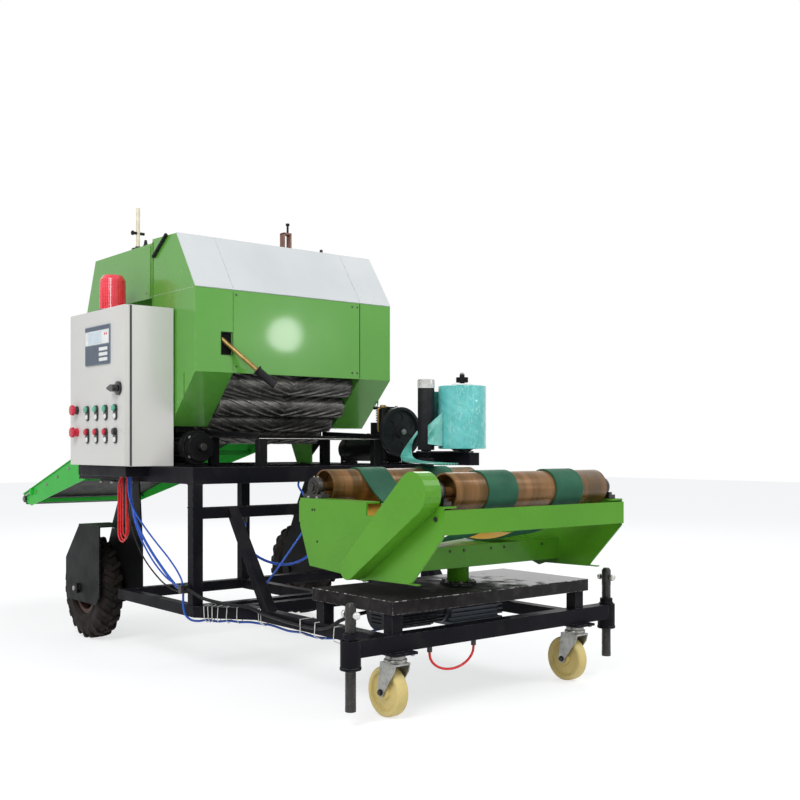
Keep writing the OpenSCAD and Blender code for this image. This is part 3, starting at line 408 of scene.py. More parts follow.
GREEN = Finish("green_paint", tint(88, 152, 36), tint(76, 140, 30), 2.4, (0.24, 0.36), coat=0.08,
               grain=(0.00001, 170), worn=tint(60, 66, 48), edge=0.0016, round_off=0.0016, shine=0.2)
COVER_GREEN = Finish("cover_paint", tint(96, 162, 66), tint(82, 150, 52), 1.5, (0.18, 0.32), coat=0.3,
                     grain=(0.0006, 4.5), worn=tint(170, 200, 140), edge=0.0014, round_off=0.002, shine=0.3)
CONVEYOR_GREEN = Finish("conveyor_paint", tint(56, 194, 66), tint(46, 178, 56), 2.0, (0.25, 0.4), coat=0.04,
                        grain=(0.00004, 160), round_off=0.0015, shine=0.1)
PALE_PANEL = Finish("pale_panel", tint(212, 214, 214), tint(194, 197, 198), 1.6, (0.24, 0.4), coat=0.3,
                    grain=(0.0009, 3.2), worn=tint(150, 154, 148), edge=0.002, round_off=0.001)
FRAME_BLACK = Finish("frame_paint", tint(18, 18, 23), tint(27, 26, 32), 4.0, (0.3, 0.5),
                     grain=(0.00003, 120), worn=tint(96, 94, 92), edge=0.002,
                     dust=tint(40, 37, 38), round_off=0.003, shine=0.05)
MACHINE_BLACK = Finish("machine_paint", tint(19, 19, 20), tint(28, 28, 29), 6.0, (0.3, 0.5),
                       grain=(0.00003, 200), worn=tint(104, 100, 96), edge=0.0014, round_off=0.001,
                       shine=0.05)
DECK_BLACK = DeckFinish("deck_paint", tint(24, 22, 23), tint(40, 37, 38), 9.0, (0.07, 0.75),
                        grain=(0.0001, 60), worn=tint(170, 166, 162), edge=0.003,
                        dust=tint(60, 55, 54), round_off=0.0015, shine=0.12)
CAST_GREY = Finish("cast_grey", tint(96, 102, 108), tint(78, 84, 92), 9.0, (0.4, 0.6), metal=0.2,
                   grain=(0.00025, 220), round_off=0.002, shine=0.3)
MOTOR_PAINT = Finish("motor_paint", tint(31, 35, 42), tint(42, 46, 52), 6.0, (0.32, 0.5),
                     grain=(0.00006, 220), worn=tint(104, 104, 106), round_off=0.001, shine=0.25)
RIBBED_STEEL = Finish("ribbed_steel", tint(122, 120, 116), tint(66, 64, 62), 9.0, (0.3, 0.5), metal=0.45,
                      grain=(0.00008, 60), worn=tint(168, 164, 158), edge=0.004)
BARE_STEEL = Finish("bare_steel", tint(176, 174, 170), tint(140, 136, 132), 14.0, (0.2, 0.4), metal=0.9,
                    grain=(0.00002, 500), round_off=0.0006)
BRIGHT_STEEL = Finish("bright_steel", tint(226, 224, 222), tint(198, 196, 194), 20.0, (0.18, 0.34), metal=0.7,
                      grain=(0.00002, 500))
ZINC = Finish("zinc_plate", tint(172, 172, 168), tint(136, 136, 132), 30.0, (0.26, 0.48), metal=0.8,
              grain=(0.00004, 300), dust=tint(116, 106, 92), round_off=0.0006)
DARK_STEEL = Finish("oiled_steel", tint(46, 45, 46), tint(74, 70, 66), 30.0, (0.25, 0.5), metal=0.6,
                    grain=(0.00004, 300), round_off=0.0006)
BRASS = Finish("dull_brass", tint(170, 144, 86), tint(122, 98, 54), 24.0, (0.24, 0.45), metal=0.7,
               grain=(0.00003, 300), round_off=0.0006)
PRIMER = Finish("rust_primer", tint(146, 100, 88), tint(112, 78, 70), 40.0, (0.4, 0.6),
                grain=(0.00004, 300), worn=tint(190, 170, 160), edge=0.001, shine=0.3)
ROD_CREAM = Finish("rod_cream", tint(228, 220, 200), tint(206, 190, 156), 40.0, (0.3, 0.5), metal=0.1,
                   grain=(0.00003, 300), worn=tint(150, 120, 84), edge=0.001)
BRONZE = RollerFinish("bronze_tube", tint(104, 74, 34), tint(76, 54, 24), 7.0, (0.24, 0.38), metal=0.2,
                      grain=(0.00003, 500), stretch=(1, 8, 1), worn=tint(138, 98, 58), shine=0.3)
TYRE_RUBBER = Finish("tyre_rubber", tint(26, 22, 21), tint(40, 33, 29), 12.0, (0.6, 0.85),
                     grain=(0.0001, 300), dust=tint(56, 47, 40), shine=0.15)
RIM_PAINT = Finish("rim_paint", tint(58, 40, 34), tint(84, 55, 44), 18.0, (0.4, 0.65),
                   grain=(0.0001, 200), worn=tint(150, 120, 100), round_off=0.001, shine=0.25)
BLACK_RUBBER = Finish("black_rubber", tint(24, 24, 27), tint(34, 34, 38), 25.0, (0.5, 0.7),
                      grain=(0.0001, 500), shine=0.2)
CREAM_NYLON = Finish("cream_nylon", tint(222, 200, 132), tint(202, 180, 110), 9.0, (0.35, 0.55),
                     grain=(0.00002, 200), shine=0.35)
CABINET_GREY = Finish("cabinet_coat", tint(214, 211, 206), tint(206, 203, 198), 1.6, (0.36, 0.46),
                      grain=(0.00012, 900), round_off=0.0022, shine=0.3)
GASKET = Finish("door_gasket", tint(60, 60, 62), None, 8.0, (0.6, 0.7))
DISPLAY_BLUE = Finish("display_frame", tint(104, 122, 140), tint(92, 110, 130), 12.0, (0.35, 0.45),
                      round_off=0.001)
DISPLAY_GLASS = Finish("display_glass", tint(176, 196, 208), tint(204, 214, 218), 16.0, (0.05, 0.12),
                       coat=1.0, grain=(0.00001, 50))
KEY_DARK = Finish("key_field", tint(72, 84, 100), tint(66, 78, 96), 30.0, (0.4, 0.5))
SWITCH_BLACK = Finish("switch_black", tint(22, 22, 24), None, 30.0, (0.25, 0.4), coat=0.3)
SWITCH_WHITE = Finish("switch_white", tint(236, 236, 232), None, 30.0, (0.3, 0.4))
BUTTON_GREEN = Finish("button_green", tint(84, 172, 142), tint(70, 156, 128), 40.0, (0.18, 0.3), coat=0.5)
BUTTON_RED = Finish("button_red", tint(208, 36, 62), tint(184, 26, 50), 40.0, (0.2, 0.32), coat=0.3,
                    shine=0.3)
LENS_RED = Finish("beacon_lens", tint(244, 52, 72), tint(226, 34, 54), 26.0, (0.08, 0.18), coat=0.8,
                  grain=(0.00002, 200))
BELT_GREEN = Finish("belt_green", tint(38, 92, 68), tint(28, 76, 56), 10.0, (0.45, 0.62),
                    grain=(0.00012, 260), shine=0.18)
BELT_YELLOW = Finish("belt_yellow", tint(226, 184, 84), tint(206, 160, 62), 12.0, (0.5, 0.65),
                     grain=(0.00012, 420), shine=0.25)
BELT_BLACK = Finish("belt_black", tint(30, 30, 31), tint(44, 42, 41), 10.0, (0.5, 0.7),
                    grain=(0.0002, 300), dust=tint(72, 69, 62), shine=0.2)
HOSE_BLUE = Finish("hose_blue", tint(32, 86, 186), tint(26, 72, 166), 20.0, (0.22, 0.34), coat=0.15,
                   shine=0.3)
HOSE_RED = Finish("hose_red", tint(228, 44, 44), tint(206, 32, 36), 20.0, (0.22, 0.34), coat=0.15, shine=0.3)
CABLE_BLACK = Finish("cable_sheath", tint(20, 20, 22), None, 30.0, (0.35, 0.5), shine=0.2)
TIE_WHITE = Finish("tie_white", tint(228, 226, 220), None, 30.0, (0.35, 0.5))
COOLING_BLACK = Finish("fin_black", tint(26, 27, 29), tint(42, 42, 44), 14.0, (0.35, 0.55), metal=0.2,
                       shine=0.25)
# Near-black finish for painted shade, laid where vents, slots and gaps would be dark openings.
PAINTED_SLOT_SHADE = Finish("slot_shade", tint(10, 12, 10), None, 10.0, (0.7, 0.8), shine=0.1)
FILM = FilmFinish("wrap_film", tint(112, 208, 204), tint(84, 184, 180), 4.0, (0.14, 0.3), coat=0.35,
                  grain=(0.0009, 46), stretch=(1.0, 1.0, 0.8))
FILM_WEB = FilmFinish("film_web", tint(136, 216, 206), tint(78, 166, 150), 4.0, (0.14, 0.28), coat=0.35,
                      grain=(0.0010, 60), stretch=(0.5, 1.6, 1.0))


class Shape:
    """Gathers the faces of one piece, in the machine's millimetres."""

    def __init__(self, name: str) -> None:
        """Start an empty piece with a name."""
        self.name = name
        self.mesh = bmesh.new()
        self.finishes: list[Finish] = []
        self.current = 0

    def use(self, finish: Finish) -> "Shape":
        """Give what is drawn from here on a finish."""
        if finish not in self.finishes:
            self.finishes.append(finish)
        self.current = self.finishes.index(finish)
        return self

    def face(self, corners: Iterable[bmesh.types.BMVert]) -> None:
        """Add one face in the current finish."""
        self.mesh.faces.new(list(corners)).material_index = self.current

    def ring(self, points: Iterable[Sequence[float]]) -> list[bmesh.types.BMVert]:
        """Add a ring of corners."""
        return [self.mesh.verts.new(Vector(point)) for point in points]

    def loft(self, rings: Sequence[Sequence[Sequence[float]]], closed: bool = True,
             caps: bool = True) -> None:
        """Join rings of points with faces.

        Args:
            rings: Rings with one number of points each.
            closed: Whether each ring joins its last point to its first.
            caps: Whether the first and last ring are filled.
        """
        made = [self.ring(points) for points in rings]
        count = len(made[0])
        for low, high in zip(made, made[1:]):
            for i in range(count if closed else count - 1):
                j = (i + 1) % count
                self.face((low[i], low[j], high[j], high[i]))
        if caps:
            self.face(reversed(made[0]))
            self.face(made[-1])

    def box(self, low: Point, high: Point, bevel: float = 0.0) -> None:
        """Add a box between two corners, with bevelled edges where bevel is given."""
        (x0, y0, z0), (x1, y1, z1), b = low, high, bevel
        if b:
            ring = [(x0 + b, y0), (x1 - b, y0), (x1, y0 + b), (x1, y1 - b),
                    (x1 - b, y1), (x0 + b, y1), (x0, y1 - b), (x0, y0 + b)]
            small = self.shrunk(ring, b)
            levels = ((z0, small), (z0 + b, ring), (z1 - b, ring), (z1, small))
        else:
            ring = [(x1, y0), (x1, y1), (x0, y1), (x0, y0)]
            levels = ((z0, ring), (z1, ring))
        self.loft([[(x, y, z) for x, y in flat] for z, flat in levels])

    @staticmethod
    def shrunk(ring: Sequence[Flat], by: float) -> list[Flat]:
        """Draw a flat ring in towards its middle by a length."""
        cx = sum(p[0] for p in ring) / len(ring)
        cy = sum(p[1] for p in ring) / len(ring)
        return [(x - math.copysign(min(by, abs(x - cx)), x - cx),
                 y - math.copysign(min(by, abs(y - cy)), y - cy)) for x, y in ring]

    def lathe(self, profile: Sequence[Flat], centre: Point, axis: Axis | Vector,
              sides: int = 32, closed: bool = False) -> None:
        """Turn a profile of [radius, distance along the axis] round an axis.

        Args:
            profile: Points of the outline; a radius of 0 closes an end.
            centre: Place from which the distances count.
            axis: Direction of the axis.
            sides: How many steps make a turn.
            closed: Whether the profile is a loop, as on a ring.
        """
        along = axis.vector if isinstance(axis, Axis) else axis.normalized()
        side = along.orthogonal().normalized()
        other = along.cross(side)
        rings = []
        for i in range(sides):
            angle = math.tau * i / sides
            out = side * math.cos(angle) + other * math.sin(angle)
            rings.append([Vector(centre) + along * d + out * r for r, d in profile])
        made: list[list[bmesh.types.BMVert]] = []
        poles: dict[int, bmesh.types.BMVert] = {}
        for ring in rings:
            row = []
            for k, point in enumerate(ring):
                on_axis = profile[k][0] == 0
                vertex = poles[k] if on_axis and k in poles else self.mesh.verts.new(point)
                if on_axis:
                    poles[k] = vertex
                row.append(vertex)
            made.append(row)
        steps = len(profile) if closed else len(profile) - 1
        for i in range(sides):
            here, there = made[i], made[(i + 1) % sides]
            for k in range(steps):
                m = (k + 1) % len(profile)
                corners = [here[k], there[k], there[m], here[m]]
                self.face(dict.fromkeys(corners))

    def bar(self, start: Point, end: Point, radius: float, sides: int = 20,
            chamfer: float = 0.0) -> None:
        """Add a round bar between two places, with chamfered ends where chamfer is given."""
        reach = Vector(end) - Vector(start)
        long = reach.length
        c = min(chamfer, radius * 0.6, long / 3)
        profile = [(0, 0), (radius - c, 0), (radius, c), (radius, long - c), (radius - c, long), (0, long)]
        if not c:
            profile = [(0, 0), (radius, 0), (radius, long), (0, long)]
        self.lathe(profile, start, reach, sides)

    def tube(self, path: Sequence[Sequence[float]], radius: float | Callable[[float], float],
             sides: int = 10, squeeze: float = 1.0) -> None:
        """Sweep a round section along a path.

        Args:
            path: Points that the middle follows.
            radius: One radius, or a function of the share of the path.
            sides: Corners of the section.
            squeeze: Share by which the section is flattened upright.
        """
        points = [Vector(p) for p in path]
        rings = []
        ahead = (points[1] - points[0]).normalized()
        side = ahead.orthogonal().normalized()
        for i, point in enumerate(points):
            turn = (points[min(i + 1, len(points) - 1)] - points[max(i - 1, 0)]).normalized()
            side = (side - turn * side.dot(turn)).normalized()
            up = turn.cross(side)
            r = radius(i / (len(points) - 1)) if callable(radius) else radius
            rings.append([point + side * r * math.cos(math.tau * k / sides)
                          + up * r * squeeze * math.sin(math.tau * k / sides) for k in range(sides)])
        self.loft(rings)

    def plate(self, outline: Sequence[Flat], flat: Axis, low: float, high: float,
              bevel: float = 0.0) -> None:
        """Draw an outline out along an axis.

        Args:
            outline: Points [x, z] for Y, [x, y] for Z and [y, z] for X.
            flat: Axis across the plate.
            low: Where the plate starts on that axis.
            high: Where it ends.
            bevel: Chamfer of its rim in millimetres.
        """
        order = {Axis.X: lambda p, d: (d, p[0], p[1]), Axis.Y: lambda p, d: (p[0], d, p[1]),
                 Axis.Z: lambda p, d: (p[0], p[1], d)}[flat]
        levels = [(low, 0), (high, 0)] if not bevel else [
            (low, bevel), (low + bevel, 0), (high - bevel, 0), (high, bevel)]
        self.loft([[order(p, level) for p in (inset(outline, by) if by else outline)]
                   for level, by in levels])

    def bolt(self, place: Point, axis: Vector, size: float = 10.0, washer: bool = True) -> None:
        """Add a hexagon bolt head whose foot is at a place and that points along an axis."""
        along = axis.normalized()
        start = Vector(place)
        if washer:
            rim, thick = size * 1.1, size * 0.14
            self.lathe([(0, 0), (rim, 0), (rim, thick), (0, thick)], start, along, 20)
            start = start + along * thick
        across, high = size * 0.92, size * 0.66
        self.lathe([(0, 0), (across, 0), (across, high * 0.8), (across * 0.86, high), (0, high)],
                   start, along, 6)

    def bolts(self, xs: Sequence[float], ys: Sequence[float], zs: Sequence[float], axis: Vector,
              size: float = 10.0, washer: bool = True) -> None:
        """Add a bolt at every meeting of the given places along, across and up."""
        for place in product(xs, ys, zs):
            self.bolt(place, axis, size, washer)

    def make(self, body: str, slot: str, replaces: Sequence[str] = (),
             smooth: float = 32.0) -> bpy.types.Object:
        """Finish the piece in the row's frame.

        Args:
            body: Body that it rides on.
            slot: The record's material slot; not used.
            replaces: Nodes of the frame that it stands for.
            smooth: Angle in degrees up to which edges are shaded smooth.

        Returns:
            The Blender object.
        """
        bmesh.ops.recalc_face_normals(self.mesh, faces=self.mesh.faces)
        for vertex in self.mesh.verts:
            vertex.co = at(*vertex.co)
        data = bpy.data.meshes.new(self.name)
        self.mesh.to_mesh(data)
        self.mesh.free()
        for finish in self.finishes:
            data.materials.append(finish.make())
        data.shade_smooth()
        data.set_sharp_from_angle(angle=math.radians(smooth))
        piece = bpy.data.objects.new(self.name, data)
        bpy.context.scene.collection.objects.link(piece)
        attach(piece, body)
        if replaces:
            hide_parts(*replaces)
        LOG.info("made %s on %s with %d faces", self.name, body, len(data.polygons))
        return piece


def inset(outline: Sequence[Flat], by: float) -> list[Flat]:
    """Move a flat outline inwards.

    Args:
        outline: Corners in order, either way round.
        by: Distance in the outline's own units.

    Returns:
        The new corners.
    """
    count = len(outline)
    area = sum(outline[i][0] * outline[(i + 1) % count][1] - outline[(i + 1) % count][0] * outline[i][1]
               for i in range(count))
    way = 1 if area > 0 else -1
    moved = []
    for i in range(count):
        before, here, after = (Vector(outline[(i + k) % count]) for k in (-1, 0, 1))
        u, v = (here - before).normalized(), (after - here).normalized()
        nu, nv = Vector((-u.y, u.x)) * way, Vector((-v.y, v.x)) * way
        moved.append(tuple(here + (nu + nv) * by / max(0.35, 1 + nu.dot(nv))))
    return moved


class Studio:
    """Camera, lamps, floor and backdrop."""

    CAMERA_MM = (3400.0, -2378.0, 800.0)
    TURN = math.radians(50.6)
    LENS = 47.97
    SENSOR = 36.0
    SHIFT_Y = 0.05875
    AIM = (0, 0, 0.7)
    SKY, SKY_STRENGTH = (0.9, 0.95, 1.0), 0.62
    FLOOR_GREY, FLOOR_SHADE, FLOOR_GLOW = 0.86, 0.42, 0.66
    LAMPS = (("key", (3.2, -4.2, 4.6), 3.2, 190), ("fill", (4.4, 2.6, 4.3), 2.4, 75),
             ("window", (4.9, 2.9, 1.8), 0.3, 7), ("back", (-3.6, 3.4, 4.2), 3.0, 90))

    def camera(self) -> None:
        """Set the level camera at the photograph's angle."""
        data = bpy.data.cameras.new("camera")
        data.lens = self.LENS
        data.sensor_width = self.SENSOR
        data.shift_y = self.SHIFT_Y
        data.clip_end = 60
        eye = bpy.data.objects.new("camera", data)
        eye.location = at(*self.CAMERA_MM)
        eye.rotation_euler = (math.pi / 2, 0, self.TURN)
        bpy.context.scene.collection.objects.link(eye)
        bpy.context.scene.camera = eye

    def lamp(self, name: str, place: Point, size: float, power: float) -> None:
        """Add a round soft lamp that looks at the machine's middle.

        Args:
            name: Name of the lamp.
            place: Its place in metres.
            size: Its diameter in metres.
            power: Its power in watts.
        """
        data = bpy.data.lights.new(name, "AREA")
        data.shape = "DISK"
        data.size = size
        data.energy = power
        lamp = bpy.data.objects.new(name, data)
        lamp.location = place
        lamp.rotation_euler = (Vector(self.AIM) - Vector(place)).to_track_quat("-Z", "Y").to_euler()
        bpy.context.scene.collection.objects.link(lamp)

    def world(self) -> None:
        """Light from all round, white where the camera sees past the machine."""
        world = bpy.data.worlds.new("studio")
        graph = NodeGraph(world)
        lit, shown = graph.add("ShaderNodeBackground"), graph.add("ShaderNodeBackground")
        for node, colour, strength in ((lit, self.SKY, self.SKY_STRENGTH), (shown, (1, 1, 1), 1.0)):
            node.inputs[0].default_value = (*colour, 1)
            node.inputs[1].default_value = strength
        out = graph.add("ShaderNodeOutputWorld")
        graph.link(graph.white_where_seen(lit.outputs[0], shown.outputs[0]), out.inputs[0])
        bpy.context.scene.world = world

    def floor(self) -> None:
        """A wide pale floor that keeps a soft shade under the machine."""
        bpy.ops.mesh.primitive_plane_add(size=40, location=(0, 0, 0))
        plane = bpy.context.object
        plane.name = "floor"
        material = bpy.data.materials.new("floor")
        graph = NodeGraph(material)
        dull, part = graph.add("ShaderNodeBsdfDiffuse"), graph.add("ShaderNodeBsdfDiffuse")
        for node, level in ((dull, self.FLOOR_GREY), (part, self.FLOOR_SHADE)):
            node.inputs[0].default_value = (level, level, level, 1)
        glow = graph.add("ShaderNodeEmission")
        glow.inputs[1].default_value = self.FLOOR_GLOW
        both = graph.add("ShaderNodeAddShader")
        graph.link(glow.outputs[0], both.inputs[0])
        graph.link(part.outputs[0], both.inputs[1])
        out = graph.add("ShaderNodeOutputMaterial")
        graph.link(graph.white_where_seen(dull.outputs[0], both.outputs[0]), out.inputs[0])
        plane.data.materials.append(material)

    def build(self) -> None:
        """Set up the whole studio."""
        bpy.context.scene.view_settings.view_transform = "Standard"
        self.world()
        self.floor()
        for name, place, size, power in self.LAMPS:
            self.lamp(name, place, size, power)
        LOG.info("studio is set")


def round_edges(piece: bpy.types.Object, width: float) -> None:
    """Weld a node's corners and bevel its sharp edges by a width in millimetres."""
    weld = piece.modifiers.new("weld", "WELD")
    weld.merge_threshold = 0.00001
    bevel = piece.modifiers.new("edges", "BEVEL")
    bevel.width = width * MM
    bevel.segments = 2
    bevel.limit_method = "ANGLE"
    bevel.angle_limit = math.radians(50)
    bevel.harden_normals = True


def dress(finish: Finish, *nodes: str, crease: float = 0.0) -> None:
    """Give nodes of the frame a finish.

    Args:
        finish: Finish for all their surfaces.
        nodes: Names of the nodes.
        crease: Width in millimetres by which their sharp edges are rounded, or 0.
    """
    for name in nodes:
        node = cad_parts[name]
        node.data.materials.clear()
        node.data.materials.append(finish.make())
        if crease:
            round_edges(node, crease)
    LOG.info("dressed %s in %s", ", ".join(nodes), finish.name)


def smooth_route(points: Sequence[Point], steps: int) -> list[Vector]:
    """Run a smooth line through chosen points.

    Args:
        points: Places of the route.
        steps: Short steps between two of them.

    Returns:
        The line's points.
    """
    line = []
    last = len(points) - 1
    for i in range(last):
        a, b, c, d = (Vector(points[min(max(k, 0), last)]) for k in (i - 1, i, i + 1, i + 2))
        for k in range(steps):
            t = k / steps
            line.append(0.5 * (2 * b + (c - a) * t + (2 * a - 5 * b + 4 * c - d) * t ** 2
                               + (3 * b - a - 3 * c + d) * t ** 3))
    return [*line, Vector(points[-1])]


def length_of(line: Sequence[Vector]) -> float:
    """Length of a line of points."""
    return sum((b - a).length for a, b in zip(line, line[1:]))


@dataclass
class Hose:
    """A hose or cable that follows its route on the machine.

    Attributes:
        name: Name of the piece.
        node: Node that it replaces.
        route: Chosen places, in the machine's millimetres.
        radius: Half its diameter in millimetres.
        finish: Its sheath.
        slot: The record's material slot.
        stiffness: How stiff it is; not used.
        steps: Short steps between two of its places.
    """

    name: str
    node: str
    route: list[Point]
    radius: float
    finish: Finish
    slot: str
    stiffness: str = "medium"
    steps: int = 8

    def line(self) -> list[Vector]:
        """The hose's middle line in millimetres."""
        return smooth_route(self.route, self.steps)

    def build(self) -> None:
        line = self.line()
        shape = Shape(self.name).use(self.finish)
        shape.tube(line, self.radius, 14)
        piece = shape.make("root", self.slot, [self.node] if self.node else (), 60)
        path = [tuple(at(*point)) for point in line]
        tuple(path[0])
        round(length_of(line) * MM, 4)


@dataclass
class HungCoil(Hose):
    """A spare length of hose, hung up in a few long turns; its route is [first end, last end].

    Attributes:
        turns: One row a turn: how much wider than the gap between the ends it is, how far it
            stands to the side, and how high its lowest point is.
        shoulder: Height from which the turns round over above.
        stub: Straight length below each end.
    """

    turns: tuple[tuple[float, float, float], ...] = ((0, 0, 442), (-10, 7, 455), (10, -7, 435))
    shoulder: float = 664.0
    stub: float = 14.0

    def line(self) -> list[Vector]:
        """Down one leg, round below, up the other leg and round above, once for each turn."""
        first, last = Vector(self.route[0]), Vector(self.route[1])
        drop = Vector((0, 0, self.stub))
        points = [first, first - drop]
        for number, (wider, aside, low) in enumerate(self.turns):
            half = (last.x - first.x + wider) / 2
            middle, y = (first.x + last.x) / 2, first.y + aside
            legs = [low + half + (self.shoulder - low - half) * share for share in (0.9, 0.6, 0.3)]
            points += [Vector((middle - half, y, z)) for z in legs]
            for i in range(7):
                turn = math.pi * (1 + i / 6)
                points.append(Vector((middle + half * math.cos(turn), y, low + half + half * math.sin(turn))))
            points += [Vector((middle + half, y, z)) for z in reversed(legs)]
            if number < len(self.turns) - 1:
                after = self.turns[number + 1]
                for i in range(1, 6):
                    turn = math.pi * i / 6
                    points.append(Vector((middle + half * math.cos(turn), y + (after[1] - aside) * i / 6,
                                          self.shoulder + half * math.sin(turn))))
        return smooth_route([*points, last - drop, last], 5)


class Hoses:
    """All hoses and cables of the machine, with their ties."""

    BLUE_ROUTE = [(-400, -590, 699.7), (-400, -590, 660), (-397, -590, 620), (-370, -590, 550),
                  (-310, -590, 480), (-220, -588, 410), (-120, -584, 345), (-60, -582, 312),
                  (-34, -582, 301), (-14, -582, 300), (5.7, -582, 300)]
    LOOP_ROUTE = [(24, -340, 524.7), (24, -340, 500), (24, -334, 455), (26, -300, 405), (28, -230, 370),
                  (30, -150, 358), (28, -70, 380), (25, -6, 430), (24, 17, 470), (24, 18, 500),
                  (24, 18, 524.7)]
    COIL_ENDS = [(-485, -590, 699.7), (-425, -590, 699.7)]
    CABLE_ROUTE = [(26.3, -582, 300), (46, -582, 300), (66, -580, 297), (105, -556, 274),
                   (160, -500, 256), (225, -450, 248), (300, -434, 232), (450, -430, 222),
                   (600, -430, 222), (680, -430, 236), (730, -424, 262), (762, -390, 280),
                   (785, -345, 290), (788, -318, 292), (788, -289, 292), (788, -260.3, 292)]
    FRONT_ROUTE = [(965, -262, 179.7),
                   *((965, -171 - 91 * math.cos(math.pi * i / 14), 175 - 57 * math.sin(math.pi * i / 14))
                     for i in range(15)), (965, -80, 179.7)]
    SECOND_ROUTE = [(-391.4, -590, 699.7), (-391, -590, 650), (-388, -591, 600), (-364, -592, 532),
                    (-302, -592, 455), (-214, -590, 384), (-120, -588, 334), (-52, -588, 315),
                    (-18, -590, 309.5), (5.7, -590, 309)]
    THIRD_ROUTE = [(-400, -598.4, 699.7), (-399, -599, 655), (-385, -601, 610), (-340, -602, 560),
                   (-260, -600, 505), (-170, -597, 452), (-90, -594, 408), (-30, -592, 370),
                   (4, -591, 342), (15, -590, 326), (16, -590, 314.2)]
    THIN_ROUTE = [(-408, -590, 699.7), (-408, -594, 650), (-400, -600, 590), (-370, -604, 520),
                  (-320, -605, 450), (-240, -605, 380), (-130, -603, 322), (-60, -598, 298),
                  (-20, -593, 291), (5.7, -592, 290.5)]
    CROSS_ROUTE = [(34, -110, 667.7), (34, -110, 650), (42, -92, 618), (52, -66, 575), (53, -66, 535),
                   (52, -98, 487), (48, -150, 422), (40, -205, 352), (31, -250, 296), (25, -272, 262),
                   (24, -276, 240.3)]
    UNDER_ROUTE = [(16, -586, 285.8), (16, -586, 262), (15, -584, 234), (17, -577, 208), (26, -560, 190),
                   (44, -540, 186), (68, -519, 191), (100, -495, 187), (132, -470, 191), (164, -446, 188),
                   (196, -422, 189), (234, -405, 187), (300, -400, 189), (400, -400, 184), (480, -399, 188),
                   (560, -392, 183), (620, -364, 186), (662, -298, 196), (690, -220, 214), (704, -140, 238),
                   (712, -88, 256), (725.8, -70, 262)]

    def build(self) -> None:
        """Make every hose, from rows of name, node, route, radius and sheath."""
        blue, red, cable = (HOSE_BLUE, "hose_blue"), (HOSE_RED, "hose_red"), (CABLE_BLACK, "cable")
        for name, node, route, radius, sheath in (
                ("hose_blue_second", "", self.SECOND_ROUTE, 3.2, blue),
                ("hose_blue_third", "", self.THIRD_ROUTE, 3.2, blue),
                ("hose_blue_cross", "", self.CROSS_ROUTE, 4, blue),
                ("hose_blue_under", "", self.UNDER_ROUTE, 4, blue),
                ("cable_thin", "", self.THIN_ROUTE, 2.8, cable),
                ("hose_blue_run", "hose_blue", self.BLUE_ROUTE, 5, blue),
                ("hose_blue_loop", "hose_loop", self.LOOP_ROUTE, 5, blue),
                ("cable_run", "cable_black", self.CABLE_ROUTE, 6, cable),
                ("hose_red_front", "hose_front", self.FRONT_ROUTE, 4, red)):
            Hose(name, node, route, radius, *sheath).build()
        HungCoil("hose_red_coil", "coil_red", self.COIL_ENDS, 3.1, *red, "limp").build()
        dress(DARK_STEEL, "hose_fittings")


@dataclass
class Sided:
    """Something that the machine has once on each side.

    Attributes:
        side: -1 for the near one and 1 for the far one.
    """

    side: int

    @property
    def name(self) -> str:
        """Side's name as the bodies and nodes write it."""
        return "near" if self.side < 0 else "far"


